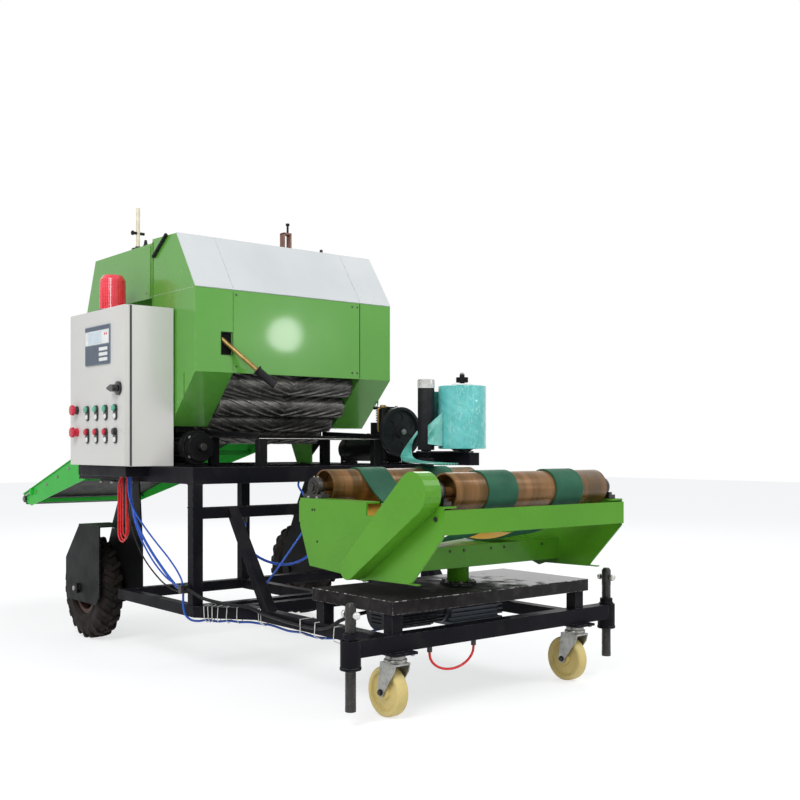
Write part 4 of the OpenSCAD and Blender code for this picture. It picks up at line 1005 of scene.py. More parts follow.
@dataclass
class RoadWheel(Sided):
    """A road wheel on its fixed axle.

    Attributes:
        radius: Radius over the lugs in millimetres.
        width: Width of the tyre.
        bead: Radius of the rim's edge.
        x: Place of the axle along the machine.
        y: Distance of the wheel from the machine's middle.
        lug: Height of the lugs.
        lugs: How many stand on each half of the tread.
    """

    radius: float = 213.0
    width: float = 100.0
    bead: float = 108.0
    x: float = -890.0
    y: float = 525.0
    lug: float = 11.0
    lugs: int = 22

    def place(self, radius: float, turn: float, across: float) -> Point:
        """A place on the wheel by its radius, turn in degrees and distance across."""
        angle = math.radians(turn)
        return (self.x + radius * math.cos(angle), self.side * self.y + across,
                self.radius + radius * math.sin(angle))

    def carcass(self, shape: Shape) -> None:
        """Turn the tyre's body, with ribs on its flanks."""
        half, bead = self.width / 2, self.bead
        crown = self.radius - self.lug
        outline = [
            (bead, -half + 15), (bead + 4, -half + 8), (bead + 14, -half + 4), (bead + 18, -half + 1.5),
            (bead + 22, -half + 3), (bead + 44, -half), (bead + 58, -half + 0.4), (bead + 61, -half),
            (bead + 64, -half + 1.6), (crown - 22, -half + 2.5), (crown - 8, -half + 11),
            (crown, -half + 25), (crown + 2.5, -9), (crown + 3, 0),
        ]
        profile = outline + [(r, -d) for r, d in reversed(outline[:-1])]
        shape.lathe(profile, self.place(0, 0, 0), Axis.Y, 108, closed=True)

    def tread(self, shape: Shape) -> None:
        """Add slanting lugs that run from the crown's middle over each shoulder."""
        half = self.width / 2
        crown = self.radius - self.lug
        for i in range(self.lugs):
            for flank in SIDES:
                start = (i + (0.5 if flank > 0 else 0)) * 360 / self.lugs
                rings = []
                for step in range(6):
                    share = step / 5
                    across = flank * (-4 + share * (half + 1))
                    lean = start + 9 * share
                    top = self.radius - 0.4 - 13 * max(0.0, share - 0.55) ** 1.3
                    low = min(crown - 2, top - 9)
                    if share == 1:
                        top, low, across = crown - 20, crown - 34, flank * (half - 1)
                    wide = 2.7 + 0.5 * share
                    rings.append([self.place(radius, lean + turn, across) for radius, turn in (
                        (low, -wide - 0.6), (top, 0.5 - wide), (top, wide - 0.5), (low, wide + 0.6))])
                shape.loft(rings)

    def build(self) -> None:
        """Make the tyre, the rim's trim and the hub's nuts."""
        tyre = Shape(f"tyre_{self.name}_tread").use(TYRE_RUBBER)
        self.carcass(tyre)
        self.tread(tyre)
        tyre.make(f"wheel_{self.name}", "tyre", [f"tyre_{self.name}"], 40)
        dress(RIM_PAINT, f"rim_{self.name}")
        trim = Shape(f"wheel_trim_{self.name}").use(ZINC)
        for i in range(5):
            for face in SIDES:
                trim.bolt(self.place(46, 36 + 72 * i, face * 3.2), Axis.Y.vector * face, 9)
        valve = self.place(82, 20, self.side * 5), self.place(80, 20, self.side * 24)
        trim.use(BLACK_RUBBER).bar(*valve, 3.6, 12, 1)
        trim.make(f"wheel_{self.name}", "zinc", smooth=30)


@dataclass
class Caster(Sided):
    """A swivelling caster under the front beam.

    Attributes:
        x: Place of the swivel along the machine, in millimetres.
        y: Distance of the swivel from the machine's middle.
        radius: Radius of the wheel.
        width: Width of the wheel.
        trail: How far the axle stands behind the swivel.
    """

    x: float = 965.0
    y: float = 395.0
    radius: float = 75.0
    width: float = 44.0
    trail: float = 35.0

    def wheel(self) -> None:
        """Turn the nylon wheel with dished webs and spokes."""
        centre = (self.x - self.trail, self.side * self.y, self.radius)
        half = self.width / 2
        wheel = Shape(f"caster_tread_{self.name}").use(CREAM_NYLON)
        r = self.radius
        flank = [(6.4, half - 1), (20, half - 1), (23, half - 3), (25, half - 10), (r - 20, half - 11),
                 (r - 16, half - 3), (r - 13, half - 1.5), (r - 5, half - 2), (r - 1, half - 6),
                 (r, half - 12)]
        profile = [(radius, -across) for radius, across in flank] + flank[::-1]
        wheel.lathe(profile, centre, Axis.Y, 72, closed=True)
        wheel.make(f"caster_roll_{self.name}", "caster_tread", [f"caster_wheel_{self.name}"], 34)

    def fork(self) -> None:
        """Dress the pressed fork with its ball race, nuts and top plate bolts."""
        dress(ZINC, f"caster_fork_{self.name}", crease=0.8)
        x, y, r = self.x, self.side * self.y, self.radius
        crown = 2 * r + 10
        trim = Shape(f"caster_trim_{self.name}").use(ZINC)
        race = [(30.2, 8), (34, 9), (35.5, 13), (34, 17), (30.2, 18)]
        trim.lathe(race, (x, y, crown), Axis.Z, 40, closed=True)
        for face in SIDES:
            trim.use(DARK_STEEL).bolt((x - self.trail, y + face * (self.width / 2 + 7.4), r),
                                      Axis.Y.vector * face, 9)
        trim.use(ZINC).bolt((x, y, crown + 0.5), DOWN, 8)
        trim.make(f"caster_{self.name}", "zinc")
        plate = Shape(f"caster_plate_bolts_{self.name}").use(ZINC)
        plate.bolts((x - 38, x + 38), (y - 34, y + 34), (192,), DOWN, 7)
        plate.make("root", "zinc")

    def build(self) -> None:
        """Make the caster."""
        self.wheel()
        self.fork()


@dataclass
class Jack(Sided):
    """A screw jack at one end of the front beam.

    Attributes:
        foot: Height of the screw's lower end, in millimetres.
        x: Place of the screw along the machine.
        y: Distance of the screw from the machine's middle.
        length: Length of the screw.
        radius: Radius over the thread.
        depth: Depth of the thread.
        pitch: Rise of one turn of the thread.
        plain: Length of the plain lower end.
    """

    foot: float
    x: float = 965.0
    y: float = 560.0
    length: float = 300.0
    radius: float = 16.0
    depth: float = 1.1
    pitch: float = 4.5
    plain: float = 14.0

    def build(self) -> None:
        """Turn the threaded screw and add the tommy bar's bright ends and the sleeve's collar."""
        x, y, top = self.x, self.side * self.y, self.foot + self.length
        screw = Shape(f"jack_thread_{self.name}").use(DARK_STEEL)
        r, root, foot = self.radius, self.radius - self.depth, self.foot
        bar_drop = 24
        profile = [(0, foot), (r - 1, foot), (r, foot + 1)]
        turns = int((self.length - 3 * self.plain - bar_drop) / self.pitch)
        for i in range(turns):
            z = foot + self.plain + self.pitch * i
            profile += [(r, z), (r, z + 1.3), (root, z + 2.2), (root, z + 3.4)]
        profile += [(r, foot + self.plain + self.pitch * turns), (r, top), (r - 6, top + 9), (0, top + 9)]
        screw.lathe(profile, (x, y, 0), Axis.Z, 36)
        level = top - bar_drop
        screw.bar((x - 28, y, level), (x + 28, y, level), 6)
        screw.use(BRIGHT_STEEL)
        for end in (-34, 22):
            screw.bar((x + end, y, level), (x + end + 12, y, level), 11, 28, 2)
        screw.make(f"jack_screw_{self.name}", "jack_steel", [f"jack_{self.name}"], 50)
        collar = Shape(f"jack_collar_{self.name}").use(FRAME_BLACK)
        collar.lathe([(30.05, 1), (31.4, 2), (31.4, 8), (30.05, 9)], (x, y, 165), Axis.Z, 40, closed=True)
        collar.lathe([(22.1, 0), (24.2, 1.4), (25.4, 4.2), (22.1, 6)], (x, y, 250), Axis.Z, 36, closed=True)
        collar.make("root", "frame_black")


class Chassis:
    """The black frames, the brackets, the deck and what is bolted to them."""

    def paint(self) -> None:
        """Dress the frame's own nodes."""
        dress(FRAME_BLACK, "top_frame", "front_posts", "lower_frame", "wrapper_base", "link_tubes",
              "cabinet_support", "film_stand", crease=2.0)
        dress(MACHINE_BLACK, "wheel_brackets", "chamber_cradle", crease=0.8)
        dress(DECK_BLACK, "platform", crease=1.5)
        dress(CAST_GREY, "gearbox", crease=1.0)

    def weld(self, shape: Shape, start: Point, end: Point, radius: float = 2.6) -> None:
        """Lay a rippled weld bead along an inner corner."""
        reach = Vector(end) - Vector(start)
        steps = max(4, int(reach.length / 3.2))
        path = [Vector(start) + reach * i / steps for i in range(steps + 1)]
        shape.tube(path, lambda share: radius * (0.82 + 0.18 * math.sin(share * steps * 2.4)), 6)

    def welds(self) -> None:
        """Lay the beads where posts meet beams."""
        beads = Shape("frame_welds").use(MACHINE_BLACK)
        for y in (-563, -523, 523, 563):
            for z in (240, 585, 668):
                self.weld(beads, (4, y, z), (44, y, z))
        for x in (-950, -910):
            for y0, y1 in ((-563, -523), (523, 563)):
                self.weld(beads, (x, y0, 668), (x, y1, 668))
        for side in SIDES:
            for x in (595, 635, 940, 980):
                self.weld(beads, (x, side * 380, 240), (x, side * 420, 240))
            for y in (380, 420):
                self.weld(beads, (940, side * y, 200.5), (940, side * y, 239))
        beads.make("root", "frame_black", smooth=70)

    def bracket_bolts(self) -> None:
        """Put bolts through the brackets' flanges and shelves."""
        bolts = Shape("bracket_bolts").use(ZINC)
        for side in SIDES:
            bolts.bolts((-720, -618), (side * 484, side * 564), (662,), DOWN, 9)
            bolts.bolts((-860, -700), (side * 520,), (475,), DOWN, 9)
            bolts.bolt((-890, side * 606.2, 213), Axis.Y.vector * side, 12, washer=False)
        bolts.make("root", "zinc")

    def deck(self) -> None:
        """Add the turntable's bolts, white dashes along the deck's rim and the gearbox's fins."""
        bolts = Shape("deck_bolts").use(ZINC)
        circle, ring_top = 50, 358
        for i in range(6):
            angle = math.radians(60 * i + 30)
            bolts.bolt((WrapTable.X + circle * math.cos(angle), circle * math.sin(angle), ring_top), UP, 7)
        bolts.make("root", "zinc")
        # Broken white dashes are laid along the deck's front and near rim edges.
        edge = Shape("deck_rim_dashes").use(SWITCH_WHITE)
        draw = random.Random(7)
        front, near, rim = 995.1, -430.1, 349.6
        for start, stop in (((front, -428, rim), (front, 428, rim)), ((588, near, rim), (992, near, rim))):
            share = 0.01
            reach = Vector(stop) - Vector(start)
            while share < 0.97:
                long = draw.uniform(0.004, 0.03)
                low = Vector(start) + reach * share
                high = Vector(start) + reach * min(share + long, 0.99)
                edge.tube([low, low.lerp(high, 0.5) + Vector((0, 0, draw.uniform(-0.6, 0.4))), high],
                          draw.uniform(0.4, 1.0), 6)
                share += long + draw.uniform(0.01, 0.12)
        edge.make("root", "zinc", smooth=60)
        fins = Shape("gearbox_fins").use(CAST_GREY)
        for i in range(5):
            z = 250 + 17 * i
            fins.box((726.2, -107, z), (885.8, -103.8, z + 5), 1)
            fins.box((723, -98, z), (726.2, 98, z + 5), 1)
        fins.use(ZINC).bolts((740, 872), (-88, 88), (232,), DOWN, 8)
        fins.make("root", "cast_grey")

    def table_motor(self) -> None:
        """Dress the table's motor and ring it with cooling fins."""
        dress(MOTOR_PAINT, "table_motor", crease=0.8)
        fins = Shape("table_motor_fins").use(MOTOR_PAINT)
        x, z, inner, outer, count = 850, 292, 49.5, 54.5, 30
        for i in range(count):
            angle = math.tau * i / count
            out = Vector((math.cos(angle), 0, math.sin(angle)))
            side = Vector((-math.sin(angle), 0, math.cos(angle))) * 1.1
            fins.loft([[base + out * inner - side, base + out * inner + side,
                        base + out * outer + side * 0.6, base + out * outer - side * 0.6]
                       for base in (Vector((x, -338, z)), Vector((x, -170, z)))])
        # The vent slots on the motor's end are thin near-black boxes: painted shade standing for the
        # openings.
        fins.use(PAINTED_SLOT_SHADE)
        for i in range(6):
            low = z - 28 + i * 11
            fins.box((x - 24, -376.9, low), (x + 24, -375.9, low + 4))
        fins.make("root", "motor_dark")

    def ties(self) -> None:
        """Bind wire round the base's near rail and round the near link tube, with the hose below."""
        ties = Shape("rail_ties").use(TIE_WHITE)
        hose, under, high = 184, 198.3, 241.7
        inner, bare, with_cable = -378.3, -421.7, -437.8
        for k, x in enumerate((252, 262, 524, 608, 716)):
            near = with_cable if x > 400 else bare
            section = ((near, under), (-406, hose), (-394, hose), (inner, under), (inner, high), (near, high))
            self.tie(ties, [Vector((x, y, z)) for y, z in section], Axis.X.vector * 5, k)
        corner, along, out = Vector((44, -563, 0)), Vector((0.793, 0.609, 0)), Vector((0.609, -0.793, 0))
        for k, share in enumerate((44, 56, 70, 92, 128, 168)):
            outer = corner + along * share
            section = ((1.7, under), (-14, hose), (-26, hose), (-41.4, under), (-41.4, high), (1.7, high))
            self.tie(ties, [outer + out * off + Vector((0, 0, z)) for off, z in section], along * 3, k)
        ties.make("root", "zinc", smooth=60)

    @staticmethod
    def tie(shape: Shape, corners: list[Vector], lean: Vector, start: float) -> None:
        """Bind one wire round the corners of a section.

        Args:
            shape: Piece that the wire becomes part of.
            corners: Corners of the bound section, in order.
            lean: How far the wire strays to the side.
            start: Where on its way round it strays most.
        """
        path = []
        count = len(corners)
        for i in range(6 * count + 1):
            side, along = divmod(i, 6)
            stray = lean * math.sin(math.tau * i / (6 * count) + start)
            path.append(corners[side % count].lerp(corners[(side + 1) % count], along / 6) + stray)
        shape.tube(path, 1.5, 6)

    def build(self) -> None:
        """Make everything that belongs to the chassis."""
        self.paint()
        self.welds()
        self.bracket_bolts()
        self.deck()
        self.table_motor()
        self.ties()
        for side in SIDES:
            RoadWheel(side).build()
            Caster(side).build()
        for side, foot in zip(SIDES, (46, 67)):
            Jack(side, foot).build()


class WrapTable:
    """The turning table with its two rollers and belts."""

    X = 806.0
    REACH = 298.0
    ROLLER_X = (X + REACH, X - REACH)
    ROLLER_Z = 669.0
    BELT_Y = (-145, 145)
    BELT_HALF = 60.0
    BELT_OUTER, BELT_INNER = 62.8, 57.9
    LEAN_TOP, LEAN_LOW = math.radians(46), math.radians(38)

    def paint(self) -> None:
        """Dress the table's nodes."""
        dress(GREEN, "table_frame", "chain_guard", crease=1.2)
        dress(DARK_STEEL, "table_bearings", crease=1.0)
        dress(BRONZE, "roller_front", "roller_rear", crease=0.8)

    def loop(self, radius: float) -> list[Flat]:
        """Outline of a slack belt loop as [x, z].

        Args:
            radius: Distance of the outline from the rollers' axes.

        Returns:
            Points once round the loop, each run hanging between the rollers.
        """
        top, low = self.LEAN_TOP, self.LEAN_LOW
        front = []
        for i in range(17):
            angle = low - math.pi / 2 + (math.pi + top - low) * i / 16
            front.append((self.REACH + radius * math.cos(angle), self.ROLLER_Z + radius * math.sin(angle)))
        rear = [(-x, z) for x, z in reversed(front)]
        (low_x, low_z), (top_x, top_z) = front[0], front[-1]
        upper = self.run(top_x, top_z, top, -1)
        lower = self.run(low_x, low_z, low, 1)
        return [(self.X + x, z) for x, z in front + upper + rear + lower]

    @staticmethod
    def run(half: float, height: float, lean: float, way: int) -> list[Flat]:
        """Points [x, z] of a run that hangs in a bow between the rollers.

        Args:
            half: Half the length of the run.
            height: Height of its ends.
            lean: Angle at which it leaves a roller, in radians.
            way: 1 where it is drawn to the front and -1 where to the rear.

        Returns:
            The points between its ends.
        """
        points = []
        for i in range(1, 24):
            x = way * half * (i / 12 - 1)
            points.append((x, height - math.tan(lean) * (half * half - x * x) / (2 * half)))
        return points

    def belts(self) -> None:
        """Make both belts, green outside and yellow inside, with frayed edges."""
        outer, inner = self.loop(self.BELT_OUTER), self.loop(self.BELT_INNER)
        belts = Shape("wrap_belts")
        count = len(outer)
        lifted, lift, lift_width = 560, 17, 120
        for y in self.BELT_Y:
            rows = []
            for i in range(count):
                (xo, zo), (xi, zi) = outer[i], inner[i]
                wave = 0.8 * math.sin(i * 1.7 + y)
                twist = lift * math.exp(-((xo - self.X) / lift_width) ** 2) if zo < lifted else 0
                near, far = y - self.BELT_HALF + wave, y + self.BELT_HALF + wave
                rows.append(belts.ring([(xo, near, zo), (xo, far, zo + twist),
                                        (xi, far, zi + twist), (xi, near, zi)]))
            for i in range(count):
                here, there = rows[i], rows[(i + 1) % count]
                for k, finish in enumerate((BELT_GREEN, BELT_GREEN, BELT_YELLOW, BELT_GREEN)):
                    belts.use(finish).face((here[k], there[k], there[(k + 1) % 4], here[(k + 1) % 4]))
        belts.make("table", "belt_green", ["table_belts"], 40)

    def shaft_caps(self) -> None:
        """Close the rollers' shafts with bright ends outside the bearings."""
        for x, body in zip(self.ROLLER_X, ("table_roller_front", "table_roller_rear")):
            caps = Shape(f"{body}_caps").use(DARK_STEEL)
            profile = [(0, 2.4), (13, 2.4), (15.6, 0.6), (15.6, -3.4), (15.05, -3.4), (15.05, 0), (0, 0)]
            for side in SIDES:
                caps.lathe(profile, (x, side * 382.1, self.ROLLER_Z), Axis.Y.vector * side, 28)
            caps.make(body, "zinc")

    def roller_trim(self) -> None:
        """Add the set screws on the bearings."""
        screws = Shape("bearing_screws").use(BARE_STEEL)
        for x, side, dx in product(self.ROLLER_X, SIDES, (-11, 11)):
            screws.bar((x + dx, side * 360, 697), (x + dx, side * 360, 704), 3.4, 6, 0.6)
        screws.make("table", "zinc")

    def bolts(self) -> None:
        """Bolt the bearings, the guard and the end plates."""
        bolts = Shape("table_bolts").use(ZINC)
        for x in self.ROLLER_X:
            bolts.bolts((x - 24, x + 24), (-372, 372), (632,), UP, 8)
        for side in SIDES:
            out = Axis.Y.vector * side
            for x, z, size in ((532, 596, 4), (545, 596, 4), (1142, 596, 8), (560, 494, 4)):
                bolts.use(DARK_STEEL).bolt((x, side * 392, z), out, size, washer=False)
            y0, y1 = sorted((side * 386, side * 400))
            bolts.use(GREEN).box((1028, y0, 400.5), (1070, y1, 404.5), 1)
        bolts.use(DARK_STEEL).bolts((900,), (-120, -60, 60, 120, 300), (470,), Axis.X.vector, 5, washer=False)
        bolts.make("table", "zinc")

    def build(self) -> None:
        """Make the table."""
        self.paint()
        self.belts()
        self.shaft_caps()
        self.roller_trim()
        self.bolts()


def drum_centre(turn: float) -> Flat:
    """Centre [x, z] of the drum roller at an angle in degrees round the chamber."""
    x, z, radius = -477, 1170, 290
    return (x + radius * math.cos(math.radians(turn)), z + radius * math.sin(math.radians(turn)))


@dataclass
class DrumRoller:
    """A steel roller of the bale chamber, with ribs in a V.

    Attributes:
        x: Centre of the roller, in the machine's millimetres.
        z: Centre of the roller.
        radius: Radius over the ribs.
        half: Half its length.
        rib: Height of the ribs.
        shaft: Half the length over its shaft.
    """

    x: float
    z: float
    radius: float = 46.0
    half: float = 298.0
    rib: float = 6.0
    shaft: float = 311.0

    def draw(self, shape: Shape) -> None:
        """Draw the tube, its V ribs and its shaft ends."""
        root, crest, half = self.radius - self.rib, self.radius - 0.4, self.half
        shape.use(RIBBED_STEEL)
        shape.lathe([(0, -half), (root - 1, -half), (root, -half + 1), (root, half - 1), (root - 1, half),
                     (0, half)], (self.x, 0, self.z), Axis.Y, 32)
        section = ((root - 1, -7), (crest, -3.4), (crest, 3.4), (root - 1, 7))
        for i, side in product(range(10), SIDES):
            rings = []
            for step in range(17):
                share = step / 16
                turns = [(r, math.radians(36 * i + 150 * share) + math.radians(lean)) for r, lean in section]
                rings.append([(self.x + r * math.cos(angle), side * share * (half - 3),
                               self.z + r * math.sin(angle)) for r, angle in turns])
            shape.loft(rings)
        shape.use(DARK_STEEL)
        for side in SIDES:
            shape.bar((self.x, side * half, self.z), (self.x, side * self.shaft, self.z), 15, 20, 1.2)


class BaleChamber:
    """The green covers with the drum of rollers inside."""

    GATE_TURNS = tuple(range(-64, 77, 20))
    REAR_TURNS = (96, 116, 136, 156, 176, 236, 256)
    LOW_ROLLER = (-447, 858)
    HALF = 463
    ROOF = 1605

    def rollers(self) -> None:
        """Make the rollers of the gate and of the fixed half."""
        gate = Shape("gate_rollers")
        for turn in self.GATE_TURNS:
            DrumRoller(*drum_centre(turn)).draw(gate)
        gate.make("gate", "drum_steel", ["gate_drum"], 35)
        rear = Shape("rear_rollers")
        for turn in self.REAR_TURNS:
            DrumRoller(*drum_centre(turn)).draw(rear)
        DrumRoller(*self.LOW_ROLLER).draw(rear)
        rear.make("root", "drum_steel", ["rear_drum"], 35)

    def paint(self) -> None:
        """Dress the covers."""
        dress(COVER_GREEN, "chamber_rear", "gate_shell", crease=1.2)
        dress(PALE_PANEL, "gate_top", crease=1.0)
        dress(BRASS, "gate_lever", crease=1.0)

    def strip(self, shape: Shape, side: int, outline: Sequence[Flat], height: float, bevel: float) -> None:
        """Raise a flat strip from one flank of the covers.

        Args:
            shape: Piece that it becomes part of.
            side: -1 for the near flank and 1 for the far one.
            outline: Corners [x, z] of the strip.
            height: How far it stands out in millimetres.
            bevel: Chamfer of its rim.
        """
        inner, outer = sorted((side * (self.HALF + 0.1), side * (self.HALF + height)))
        shape.plate(outline, Axis.Y, inner, outer, bevel)

    def gate_trim(self) -> None:
        """Add the gate's seams, screws, folds and strut, the lever's slot as a box of painted shade, and the
        clevis on top.
        """
        trim = Shape("gate_trim").use(GREEN)
        for side in SIDES:
            self.strip(trim, side, [(-470, 1608), (-462, 1608), (-462, 892), (-470, 892)], 2.2, 0.8)
            self.strip(trim, side, [(-214, 1080), (-206, 1080), (-206, 986), (-214, 966)], 1.2, 0.5)
        trim.box((-125.2, -302, 1088), (-124.2, -300, 1389))
        # A near-black strip along the front's far fold is painted shade in the gap.
        trim.use(PAINTED_SLOT_SHADE).box((-125.2, 299.6, 1084), (-124.3, 302.4, 1392))
        trim.use(DARK_STEEL)
        trim.bolts((-124.9,), (-288, 262, 288), (1106, 1378), Axis.X.vector, 4, washer=False)
        for side in SIDES:
            trim.bolts((-448,), (side * self.HALF,), (960, 1280, 1560), Axis.Y.vector * side, 4, washer=False)
        trim.use(BLACK_RUBBER)
        for y in (-354, -307.4):
            trim.box((-125.4, y, 1147), (-123.2, y + 2.6, 1235), 0.6)
        for z in (1147, 1232.4):
            trim.box((-125.4, -354, z), (-123.2, -304.8, z + 2.6), 0.6)
        trim.bar((-340, -470, 1619), (-452, -470, 1546), 6.5, 18, 1)
        for x, z in ((-344, 1616), (-448, 1549)):
            trim.bar((x, -463, z), (x, -476, z), 5, 14, 1)
        trim.use(SWITCH_WHITE)
        for i in range(14):
            x = -462 + 24 * i
            trim.bar((x, -463.4, 1394), (x + 11, -463.4, 1394.6), 0.9, 6)
        # The lever's slot is a near-black box set behind the front: painted shade in the opening.
        trim.use(PAINTED_SLOT_SHADE).box((-150, -358, 1143), (-129.3, -300, 1239))
        trim.use(PRIMER)
        for y0, y1, z0, z1 in ((32, 38, 1620, 1680), (64, 70, 1620, 1680), (32, 70, 1674, 1682)):
            trim.box((-316, y0, z0), (-284, y1, z1), 1)
        trim.use(BLACK_RUBBER).bar((-300, 60, 1680), (-300, 60, 1720), 4.5, 16, 1)
        trim.bar((-300, 60, 1714), (-300, 60, 1723), 8, 16, 1)
        trim.make("gate", "cover_green")

    def roof_fittings(self) -> None:
        """Make the cream rod with its black tee and nuts, and the primed stop behind it."""
        x, y, roof = -667, -430, self.ROOF
        parts = Shape("roof_fittings").use(ROD_CREAM)
        parts.bar((x, y, roof), (x, y, 1781), 8, 24, 1.5)
        parts.use(DARK_STEEL).bar((x, y, roof), (x, y, roof + 10), 26, 32, 1.5)
        parts.bar((x, y, roof + 10), (x, y, roof + 18), 13, 6, 1)
        tee = roof + 72
        parts.use(BLACK_RUBBER).bar((x, y - 28, tee), (x, y + 28, tee), 6, 18, 1)
        parts.bar((x, y - 28, tee), (x, y - 20, tee), 9.5, 18, 1.5)
        parts.lathe([(0, 0), (14, 0), (13, 6), (8, 16), (5, 34), (0, 34)], (x + 70, y, roof), Axis.Z, 24)
        parts.use(PRIMER).box((x + 100, 380, roof), (x + 150, 420, roof + 42), 1.5)
        parts.use(DARK_STEEL).bar((x + 125, 400, roof + 42), (x + 125, 400, roof + 84), 7, 20, 1)
        parts.make("root", "brass", ["top_fittings"], 40)

    def panel_trim(self) -> None:
        """Mark the pale panel's two folds."""
        peak, low = Vector((-273, 0, 1615)), Vector((-125, 0, 1395))
        along = (low - peak).normalized()
        skin = Vector((-along.z, 0, along.x)) * 4.4
        trim = Shape("panel_trim").use(PALE_PANEL)
        for y in (-301, 301):
            across = Vector((0, y, 0))
            trim.tube([peak + along * 6 + skin + across, low - along * 6 + skin + across], 1.3, 6)
        trim.make("gate", "pale_panel")

    def grip(self) -> None:
        """Slip the rubber grip over the lever."""
        turn = Matrix.Rotation(math.radians(59), 3, "Z") @ Matrix.Rotation(math.radians(131), 3, "Y")
        along = turn @ Vector((0, 0, 1))
        start = Vector((-125, -327, 1190))
        grip = Shape("lever_grip").use(BLACK_RUBBER)
        profile = [(14.1, 147), (19.5, 148), (19.5, 153), (15.6, 155)]
        for start_at in range(157, 224, 11):
            profile += [(15.4, start_at), (14.6, start_at + 3), (14.6, start_at + 6), (15.4, start_at + 9)]
        profile += [(15.0, 238), (14.1, 239)]
        grip.lathe(profile, start, along, 24, closed=True)
        grip.make("gate", "brass", smooth=50)

    def rear_trim(self) -> None:
        """Add the rear cover's seam, screws and hinge pins, and the chute's lips."""
        trim = Shape("rear_trim")
        for side in SIDES:
            trim.use(GREEN)
            self.strip(trim, side, [(-490, 1596), (-483, 1596), (-483, 1396), (-490, 1396)], 1.8, 0.6)
            out = Axis.Y.vector * side
            trim.use(ZINC).bolts((-960, -740, -520), (side * self.HALF,), (1412,), out, 4, washer=False)
            trim.bolt((-477, side * 401, 1632), out, 6)
        trim.bolts((-505, -985), (-440, -220, 0, 220, 440), (self.ROOF + 0.2,), UP, 6)
        for z in (1420, 1500, 1580):
            trim.bolt((-1011 - (self.ROOF - z) * 92 / 217 - 0.3, 0, z), Vector((-1, 0, 0.4)), 6)
        trim.make("root", "cover_green")
        trim = Shape("chute_lips").use(MACHINE_BLACK)
        for side in SIDES:
            y, inner = side * 291, side * 288
            trim.loft([[(x, inner, z - 0.4), (x, y, z - 0.4), (x, y, z + 18), (x, inner, z + 18)]
                       for x, z in ((-376, 848.4), (-170, 840.5), (36, 832.6))])
        trim.use(BARE_STEEL)
        for x, z in ((37.6, 831.2), (-379.4, 848.2)):
            trim.tube([(x, y, z) for y in range(-288, 289, 24)], 1.3, 8)
        trim.make("root", "machine_black", smooth=30)

    def build(self) -> None:
        """Make the whole chamber."""
        self.paint()
        self.rollers()
        self.gate_trim()
        self.roof_fittings()
        self.panel_trim()
        self.grip()
        self.rear_trim()


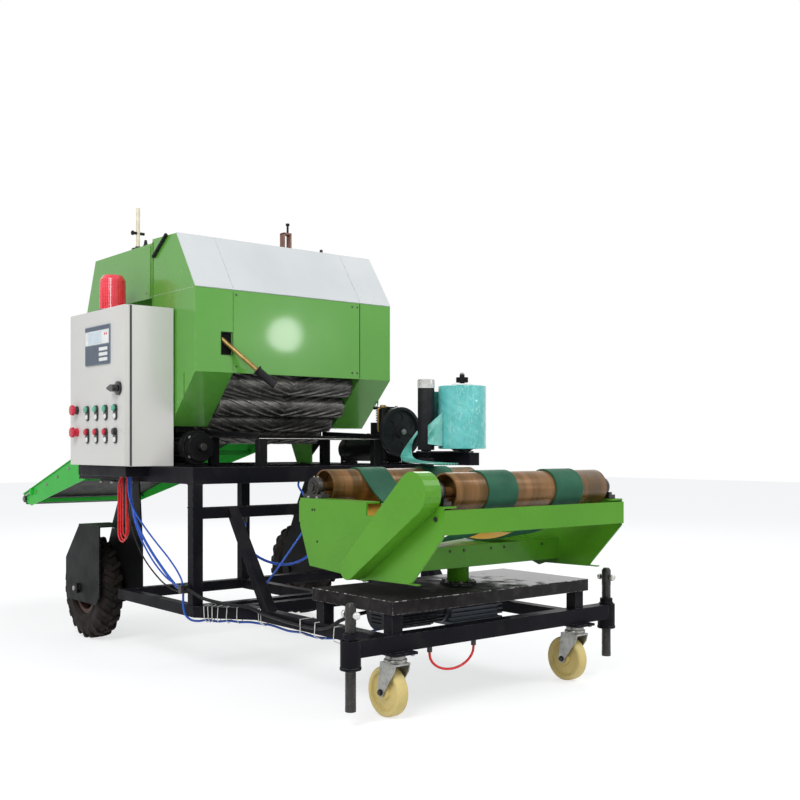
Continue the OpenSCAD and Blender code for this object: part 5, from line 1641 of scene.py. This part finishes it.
class ControlCabinet:
    """The control cabinet, its door's controls and the beacon on top."""

    FRONT = -670.0
    BEACON = (-600, -570)

    def paint(self) -> None:
        """Dress the cabinet's nodes."""
        dress(CABINET_GREY, "cabinet", "cabinet_door", crease=2.0)
        dress(LENS_RED, "beacon")

    def gasket(self) -> None:
        """Lay the dark seal between door and body."""
        seal = Shape("door_seal").use(GASKET)
        seal.box((-280.1, -648, 730), (-279.3, -640, 1326))
        seal.box((-778, -648, 1327.9), (-282, -640, 1328.7))
        seal.make("root", "cabinet_grey")

    def knob(self, parts: Shape, profile: Sequence[Flat], x: float, z: float, sides: int = 28) -> None:
        """Turn a profile of [radius, distance from the door] at a place on the door."""
        parts.lathe(profile, (x, self.FRONT, z), -Axis.Y.vector, sides)

    def display(self, panel: Shape) -> None:
        """Draw the screen, its key field and its rows of keys.

        Args:
            panel: Piece that it becomes part of.
        """
        f = self.FRONT - 6
        panel.use(DISPLAY_BLUE).box((-622, f, 1116), (-399, self.FRONT, 1266), 1.5)
        for finish, x0, x1, z0, z1, out, bevel in (
                (KEY_DARK, -619, -402, 1250, 1263, 0.9, 0.4), (KEY_DARK, -617, -402, 1119, 1190, 0.9, 0.4),
                (SWITCH_WHITE, -617, -402, 1194, 1247, 0.7, 0.3),
                (DISPLAY_GLASS, -588, -466, 1197, 1244, 1.4, 0.5)):
            panel.use(finish).box((x0, f - out, z0), (x1, f + 0.5, z1), bevel)
        panel.use(SWITCH_WHITE)
        for z in (1128, 1148, 1168):
            panel.box((-488, f - 2.0, z), (-412, f, z + 13), 0.8)
        panel.use(BUTTON_RED)
        for x in (-440, -424):
            panel.box((x, f - 1.6, 1226), (x + 8, f, 1234), 0.6)

    def lamp_switch(self, parts: Shape, x: float, z: float, colour: Finish) -> None:
        """Draw one oval switch plate with its button and its lamp.

        Args:
            parts: Piece that it becomes part of.
            x: Middle of the button.
            z: Middle of the button.
            colour: Finish of the button.
        """
        f, drop, reach = self.FRONT, 30, 15
        outline = []
        for i in range(24):
            angle = math.tau * i / 24
            middle = z if math.sin(angle) >= 0 else z - drop
            outline.append((x + reach * math.cos(angle), middle + reach * math.sin(angle)))
        parts.use(SWITCH_BLACK).plate(outline, Axis.Y, f - 6, f, 1.2)
        self.knob(parts, [(0, 9), (14.4, 9), (14.4, 5), (0, 5)], x, z)
        self.knob(parts.use(colour), [(0, 16.4), (9, 16.2), (12, 14.6), (12, 8), (0, 8)], x, z)
        self.knob(parts.use(SWITCH_WHITE), [(0, 10.4), (7, 10), (10, 8), (10, 5), (0, 5)], x, z - drop)

    def switches(self) -> None:
        """Draw all that stands on the door: display, switches, stops and the rotary handle."""
        f = self.FRONT
        parts = Shape("door_controls")
        self.display(parts)
        stop_x, stop = -710, [(0, 30), (12, 30), (19, 28), (21, 24), (21, 18), (18, 14.4), (0, 14.4)]
        rows = ((946, SWITCH_BLACK, (BUTTON_GREEN,) * 4),
                (858, BUTTON_RED, (BUTTON_RED, BUTTON_RED, BUTTON_RED, SWITCH_BLACK)))
        for z, collar, colours in rows:
            for i, colour in enumerate(colours):
                self.lamp_switch(parts, -607 + 85 * i, z, colour)
            self.knob(parts.use(collar), [(0, 15), (14, 15), (17, 5), (17, 0), (0, 0)], stop_x, z, 32)
            self.knob(parts.use(BUTTON_RED), stop, stop_x, z, 36)
        self.knob(parts.use(SWITCH_BLACK), [(0, 10), (22, 10), (26, 8), (26, 0), (0, 0)], -325, 1019, 40)
        handle = [(-366, 1015), (-366, 1023), (-335, 1033), (-313, 1031), (-305, 1019), (-313, 1007),
                  (-335, 1005)]
        parts.plate(handle, Axis.Y, f - 33.6, f - 10, 3)
        parts.make("door", "controls", ["cabinet_controls"])

    def beacon(self) -> None:
        """Ring the beacon's lens with upright ribs and seat it on its foot."""
        lamp = Shape("beacon_ribs").use(LENS_RED)
        count = 36
        for i in range(count):
            angle = math.tau * i / count
            out = Vector((math.cos(angle), math.sin(angle), 0))
            side = Vector((-math.sin(angle), math.cos(angle), 0)) * 2.2
            rings = []
            for z, r in ((1346, 51.2), (1400, 50.8), (1462, 49.6)):
                base = Vector((*self.BEACON, z))
                rings.append([base + out * (r - 3) - side, base + out * r - side * 0.6,
                              base + out * r + side * 0.5, base + out * (r - 3) + side])
            lamp.loft(rings)
        lamp.make("root", "beacon_red", smooth=60)
        foot = Shape("beacon_foot").use(BLACK_RUBBER)
        foot.lathe([(56.1, 1), (58, 3), (58, 12), (56.1, 15)], (*self.BEACON, 1328), Axis.Z, 48, closed=True)
        foot.make("root", "machine_black")

    def build(self) -> None:
        """Make the cabinet."""
        self.paint()
        self.gasket()
        self.switches()
        self.beacon()


class Conveyor:
    """The sloping belt conveyor that feeds the chamber."""

    TAIL = (-2290.0, 522.0)
    HEAD_X = -860.0
    SLOPE = math.radians(16.4)
    HALF = 300.7
    DRUM = 30.0

    def top(self, x: float) -> float:
        """Height of the side plates' upper edge at a place."""
        return self.TAIL[1] + self.DRUM / math.cos(self.SLOPE) + 2 + (x - self.TAIL[0]) * math.tan(self.SLOPE)

    def lips(self, shape: Shape) -> None:
        """Fold a lip along the upper edge of both side plates."""
        start, stop = self.TAIL[0] - 26, self.HEAD_X + 22
        for side in SIDES:
            inner, outer = side * (self.HALF - 4), side * (self.HALF + 6)
            rings = []
            for i in range(13):
                x = start + (stop - start) * i / 12
                z = self.top(x)
                rings.append([(x, inner, z - 2), (x, outer, z - 2), (x, outer, z + 1), (x, inner, z + 1)])
            shape.loft(rings)

    def cleats(self) -> None:
        """Set low cleats across the belt's upper run."""
        cleats = Shape("belt_cleats").use(BELT_BLACK)
        along = Vector((math.cos(self.SLOPE), 0, math.sin(self.SLOPE)))
        up = Vector((-math.sin(self.SLOPE), 0, math.cos(self.SLOPE)))
        start = Vector((self.TAIL[0], 0, self.TAIL[1])) + up * (self.DRUM - 0.2)
        pitch = 146
        for i in range(1, 10):
            mid = start + along * pitch * i
            ring = [mid - along * 6, mid - along * 3 + up * 6, mid + along * 3 + up * 6, mid + along * 6]
            cleats.loft([[point + Vector((0, y, 0)) for point in ring] for y in (-280, 280)])
        cleats.make("root", "belt_black")

    def build(self) -> None:
        """Make the conveyor."""
        dress(CONVEYOR_GREEN, "conveyor_frame", crease=1.0)
        dress(BELT_BLACK, "conveyor_belt")
        self.cleats()
        trim = Shape("conveyor_trim").use(CONVEYOR_GREEN)
        self.lips(trim)
        tail_x, tail_z = self.TAIL
        for side in SIDES:
            y, out = side * self.HALF, Axis.Y.vector * side
            trim.use(DARK_STEEL)
            trim.lathe([(0, 9), (17, 9), (19, 7), (19, 0.2), (0, 0.2)], (tail_x, y, tail_z), out, 28)
            trim.use(ZINC).bolt((tail_x, y + side * 9, tail_z), out, 9)
            for x in range(-2140, -979, 145):
                trim.bolt((x, y, self.top(x) - 34), out, 7)
            trim.bar((-2270, y + side * 8, 540), (-2190, y + side * 8, 563), 4, 12, 1)
            y0, y1 = sorted((y, y + side * 16))
            trim.use(CONVEYOR_GREEN).box((-2196, y0, 548), (-2178, y1, 582), 1)
        trim.make("root", "conveyor_green")


class Drives:
    """The baler's motor, the compressor and its flywheel."""

    def motor(self) -> None:
        """Dress the baler's motor and give it a terminal box, a cowl whose vents are painted shade, and a
        shaft end.
        """
        dress(MACHINE_BLACK, "baler_motor", crease=0.8)
        x, y, z = -395, -385, 800
        parts = Shape("motor_trim").use(MACHINE_BLACK)
        parts.box((x - 45, y - 40, z + 52), (x + 45, y + 40, z + 92), 4)
        parts.use(ZINC).bolts((x - 36, x + 36), (y - 32, y + 32), (z + 92,), UP, 5, washer=False)
        for i in range(4):
            angle = math.radians(45 + 90 * i)
            parts.bolt((-244, y + 50 * math.cos(angle), z + 50 * math.sin(angle)), Axis.X.vector, 7)
        # The cowl's vents are thin near-black boxes: painted shade standing for the openings.
        parts.use(PAINTED_SLOT_SHADE)
        for i in range(7):
            parts.box((-566.8, y - 34, z - 34 + 11 * i), (-565.6, y + 34, z - 30 + 11 * i))
        parts.use(DARK_STEEL).bar((-220, y, z), (-198, y, z), 14, 20, 1)
        parts.make("root", "motor_dark")

    def compressor(self) -> None:
        """Dress the compressor and give its tank welds, fittings and bolts."""
        dress(MACHINE_BLACK, "compressor", crease=1.0)
        dress(COOLING_BLACK, "compressor_wheel", crease=0.8)
        parts = Shape("compressor_trim").use(MACHINE_BLACK)
        for x in (-300, -40):
            parts.lathe([(50.1, 0), (52, 2), (52, 6), (50.1, 8)], (x, 390, 790), Axis.X, 40, closed=True)
        parts.use(BRASS)
        parts.bar((-180, 390, 840), (-180, 390, 858), 7, 16, 1)
        pipe = [(338, 959), (328, 957), (324, 946), (324, 880), (326, 868), (334, 862)]
        parts.tube(smooth_route([(-30, y, z) for y, z in pipe], 6), 4.5, 12)
        parts.use(ZINC).bolts((-70, -10), (343, 403), (965,), UP, 6)
        parts.bolts((-310, -14), (357, 423), (736.2,), UP, 6)
        parts.make("root", "machine_black")
        y, z = 373, 861
        hub = Shape("flywheel_bolt").use(ZINC)
        hub.bolt((74, y, z), Axis.X.vector, 11)
        disc = [(24.2, 0), (89.2, 0), (89.2, 1.6), (24.2, 1.6)]
        hub.use(COOLING_BLACK).lathe(disc, (47, y, z), Axis.X, 60, closed=True)
        hub.make("flywheel", "zinc")

    def build(self) -> None:
        """Make the drives."""
        self.motor()
        self.compressor()


class FilmStation:
    """The film roll, its stretch roller and the film that leads to the table."""

    X, Y, RADIUS = 288.0, 497.0, 96.0
    LOW, HIGH = 792.0, 1042.0
    STRETCHER = (220, 367)
    STRETCHER_RADIUS = 33.0
    TAIL_ROUTE = [(187.3, 353.5, 862), (174, 336, 830), (176, 312, 796), (202, 282, 764), (270, 245, 748),
                  (380, 190, 744), (510, 120, 743), (640, 55, 743), (770, 0, 743)]
    TAIL_HALF = [3, 9, 16, 24, 30, 36, 42, 46, 30]
    TAIL_WIDTH = 110.0

    @staticmethod
    def film_sheet(name: str, rings: Sequence[Sequence[Sequence[float]]],
                   replaces: Sequence[str] = ()) -> bpy.types.Object:
        """Make one open sheet of film from rows of points."""
        shape = Shape(name).use(FILM_WEB)
        shape.loft(rings, closed=False, caps=False)
        return shape.make("root", "film", replaces, 80)

    def roll(self) -> None:
        """Turn the wound film with layered ends and a wrinkled skin."""
        roll = Shape("film_reel").use(FILM)
        rings = []
        turns = 96
        levels = 40
        for k in range(levels + 1):
            z = self.LOW + 2 + (self.HIGH - self.LOW - 4) * k / levels
            ring = []
            for i in range(turns):
                angle = math.tau * i / turns
                wrinkle = 0.8 * math.sin(7 * angle + 0.05 * z) * math.sin(0.11 * z + 3 * angle)
                wrinkle += 0.35 * math.sin(17 * angle - 0.21 * z)
                r = self.RADIUS - 1.2 + wrinkle
                ring.append((self.X + r * math.cos(angle), self.Y + r * math.sin(angle), z))
            rings.append(ring)
        roll.loft(rings, caps=False)
        for level, way in ((self.HIGH, 1), (self.LOW, -1)):
            profile = [(self.RADIUS - 1.4, -2.0 * way)]
            for i in range(1, 12):
                profile.append((self.RADIUS - 4 - 4.4 * i, (-0.2 if i % 2 else -0.9) * way))
            roll.lathe(profile, (self.X, self.Y, level), Axis.Z, 96)
        for finish, level, profile in (
                (SWITCH_WHITE, self.HIGH, [(10.1, 8), (42, 8), (43, 7), (43, -0.6), (10.1, -0.6)]),
                (GASKET, self.LOW, [(10.1, -7.6), (34, -7.6), (43, -1), (43, 0.8), (10.1, 0.8)])):
            roll.use(finish).lathe(profile, (self.X, self.Y, level), Axis.Z, 48, closed=True)
        roll.make("film", "film", ["film_roll"], 50)

    def tail(self) -> None:
        """Lead the gathered film from the stretch roller to the table as a pleated sheet."""
        steps = 8
        line = smooth_route(self.TAIL_ROUTE, steps)
        pleats = 24
        rings = []
        for i, point in enumerate(line):
            share = i / steps
            k = min(int(share), len(self.TAIL_HALF) - 2)
            half = self.TAIL_HALF[k] + (self.TAIL_HALF[k + 1] - self.TAIL_HALF[k]) * (share - k)
            ahead = (line[min(i + 1, len(line) - 1)] - line[max(i - 1, 0)]).normalized()
            side = ahead.cross(UP).normalized()
            up = side.cross(ahead)
            across = 2 * half / pleats
            rise = math.sqrt(max((self.TAIL_WIDTH / pleats) ** 2 - across ** 2, 0.0))
            ring = []
            for j in range(pleats + 1):
                bend = (0, 1, 0, -1)[j % 4]
                ring.append(point + side * (across * j - half) + up * rise * bend)
            rings.append(ring)
        piece = self.film_sheet("film_end", rings, ["film_tail"])
        round(length_of(line) * MM, 4)
        self.web()
        self.flap()

    def flap(self) -> None:
        """Hang the film's loose corner from the roll, in front of the stretch roller."""
        start, stop = Vector((282.0, 399.6)), Vector((253.1, 347.5))
        toward = Vector((0.773, -0.635))
        reach = stop - start
        rings = []
        for i in range(15):
            share = i / 14
            low, high = 803 + 9 * share, 937 - 53 * share
            ring = []
            for k in range(17):
                z = low + (high - low) * k / 16
                fold = 6 * math.sin(math.pi * share) + 3.2 * share * math.sin(0.11 * z + 9 * share)
                place = start + reach * share + toward * fold
                ring.append((place.x, place.y, z))
            rings.append(ring)
        piece = self.film_sheet("film_flap", rings)

    def web(self) -> None:
        """Stretch the film's web from the roll to the stretch roller."""
        to_roll, to_stretch = Vector((self.X, self.Y)), Vector(self.STRETCHER)
        reach = to_stretch - to_roll
        lean = math.atan2(reach.y, reach.x) - math.acos((self.RADIUS - self.STRETCHER_RADIUS) / reach.length)
        out = Vector((math.cos(lean), math.sin(lean)))
        gap = 1.2
        start = to_roll + out * (self.RADIUS + gap)
        stop = to_stretch + out * (self.STRETCHER_RADIUS + gap)
        low, high = self.LOW + 12, self.LOW + 230
        rings = []
        for i in range(13):
            place = start.lerp(stop, i / 12)
            ring = []
            for k in range(25):
                z = low + (high - low) * k / 24
                bow = 0.5 * math.sin(k * 1.3) * math.sin(math.pi * i / 12)
                ring.append((place.x + out.x * bow, place.y + out.y * bow, z))
            rings.append(ring)
        piece = self.film_sheet("film_span", rings)

    def stretcher(self) -> None:
        """Give the stretch roller its knurled cap, and bolt down the film's stand."""
        dress(BLACK_RUBBER, "stretch_roller", crease=0.5)
        x, y = self.STRETCHER
        trim = Shape("stretch_trim").use(BRIGHT_STEEL)
        cuff = [(22.1, 0), (31.4, 0), (32.4, 1), (32.4, 34), (31, 35.6), (22.1, 35.6)]
        trim.lathe(cuff, (x, y, 1030.5), Axis.Z, 48, closed=True)
        count, radius = 30, 32.2
        for i in range(count):
            angle = math.tau * i / count
            place = Vector((x + radius * math.cos(angle), y + radius * math.sin(angle), 1033))
            trim.bar(place, place + Vector((0, 0, 30)), 1.5, 6)
        cap = [(0, 1066.4), (14, 1066.4), (23.4, 1065.6), (23.4, 1062), (0, 1062)]
        trim.lathe(cap, (x, y, 0), Axis.Z, 36)
        trim.make("stretcher", "drum_steel", smooth=40)
        bolts = Shape("stand_trim").use(BRASS)
        bolts.lathe([(9.1, 0), (12, 2), (12, 10), (9.1, 12)], (24, 306, 958), Axis.Z, 28, closed=True)
        bolts.use(ZINC).bolt((self.X, self.Y, 1088), UP, 8)
        bolts.bolts((20, 330), (self.Y,), (778,), UP, 8)
        bolts.make("root", "zinc")

    def build(self) -> None:
        """Make the film station."""
        self.roll()
        self.tail()
        self.stretcher()


def main() -> None:
    """Build the scene in order."""
    logging.basicConfig(level=logging.INFO, format="%(name)s: %(message)s")
    Studio().camera()
    for part in (Hoses(), Chassis(), WrapTable(), BaleChamber(), ControlCabinet(), Conveyor(), Drives(),
                 FilmStation(), Studio()):
        part.build()


if __name__ == "__main__":
    main()
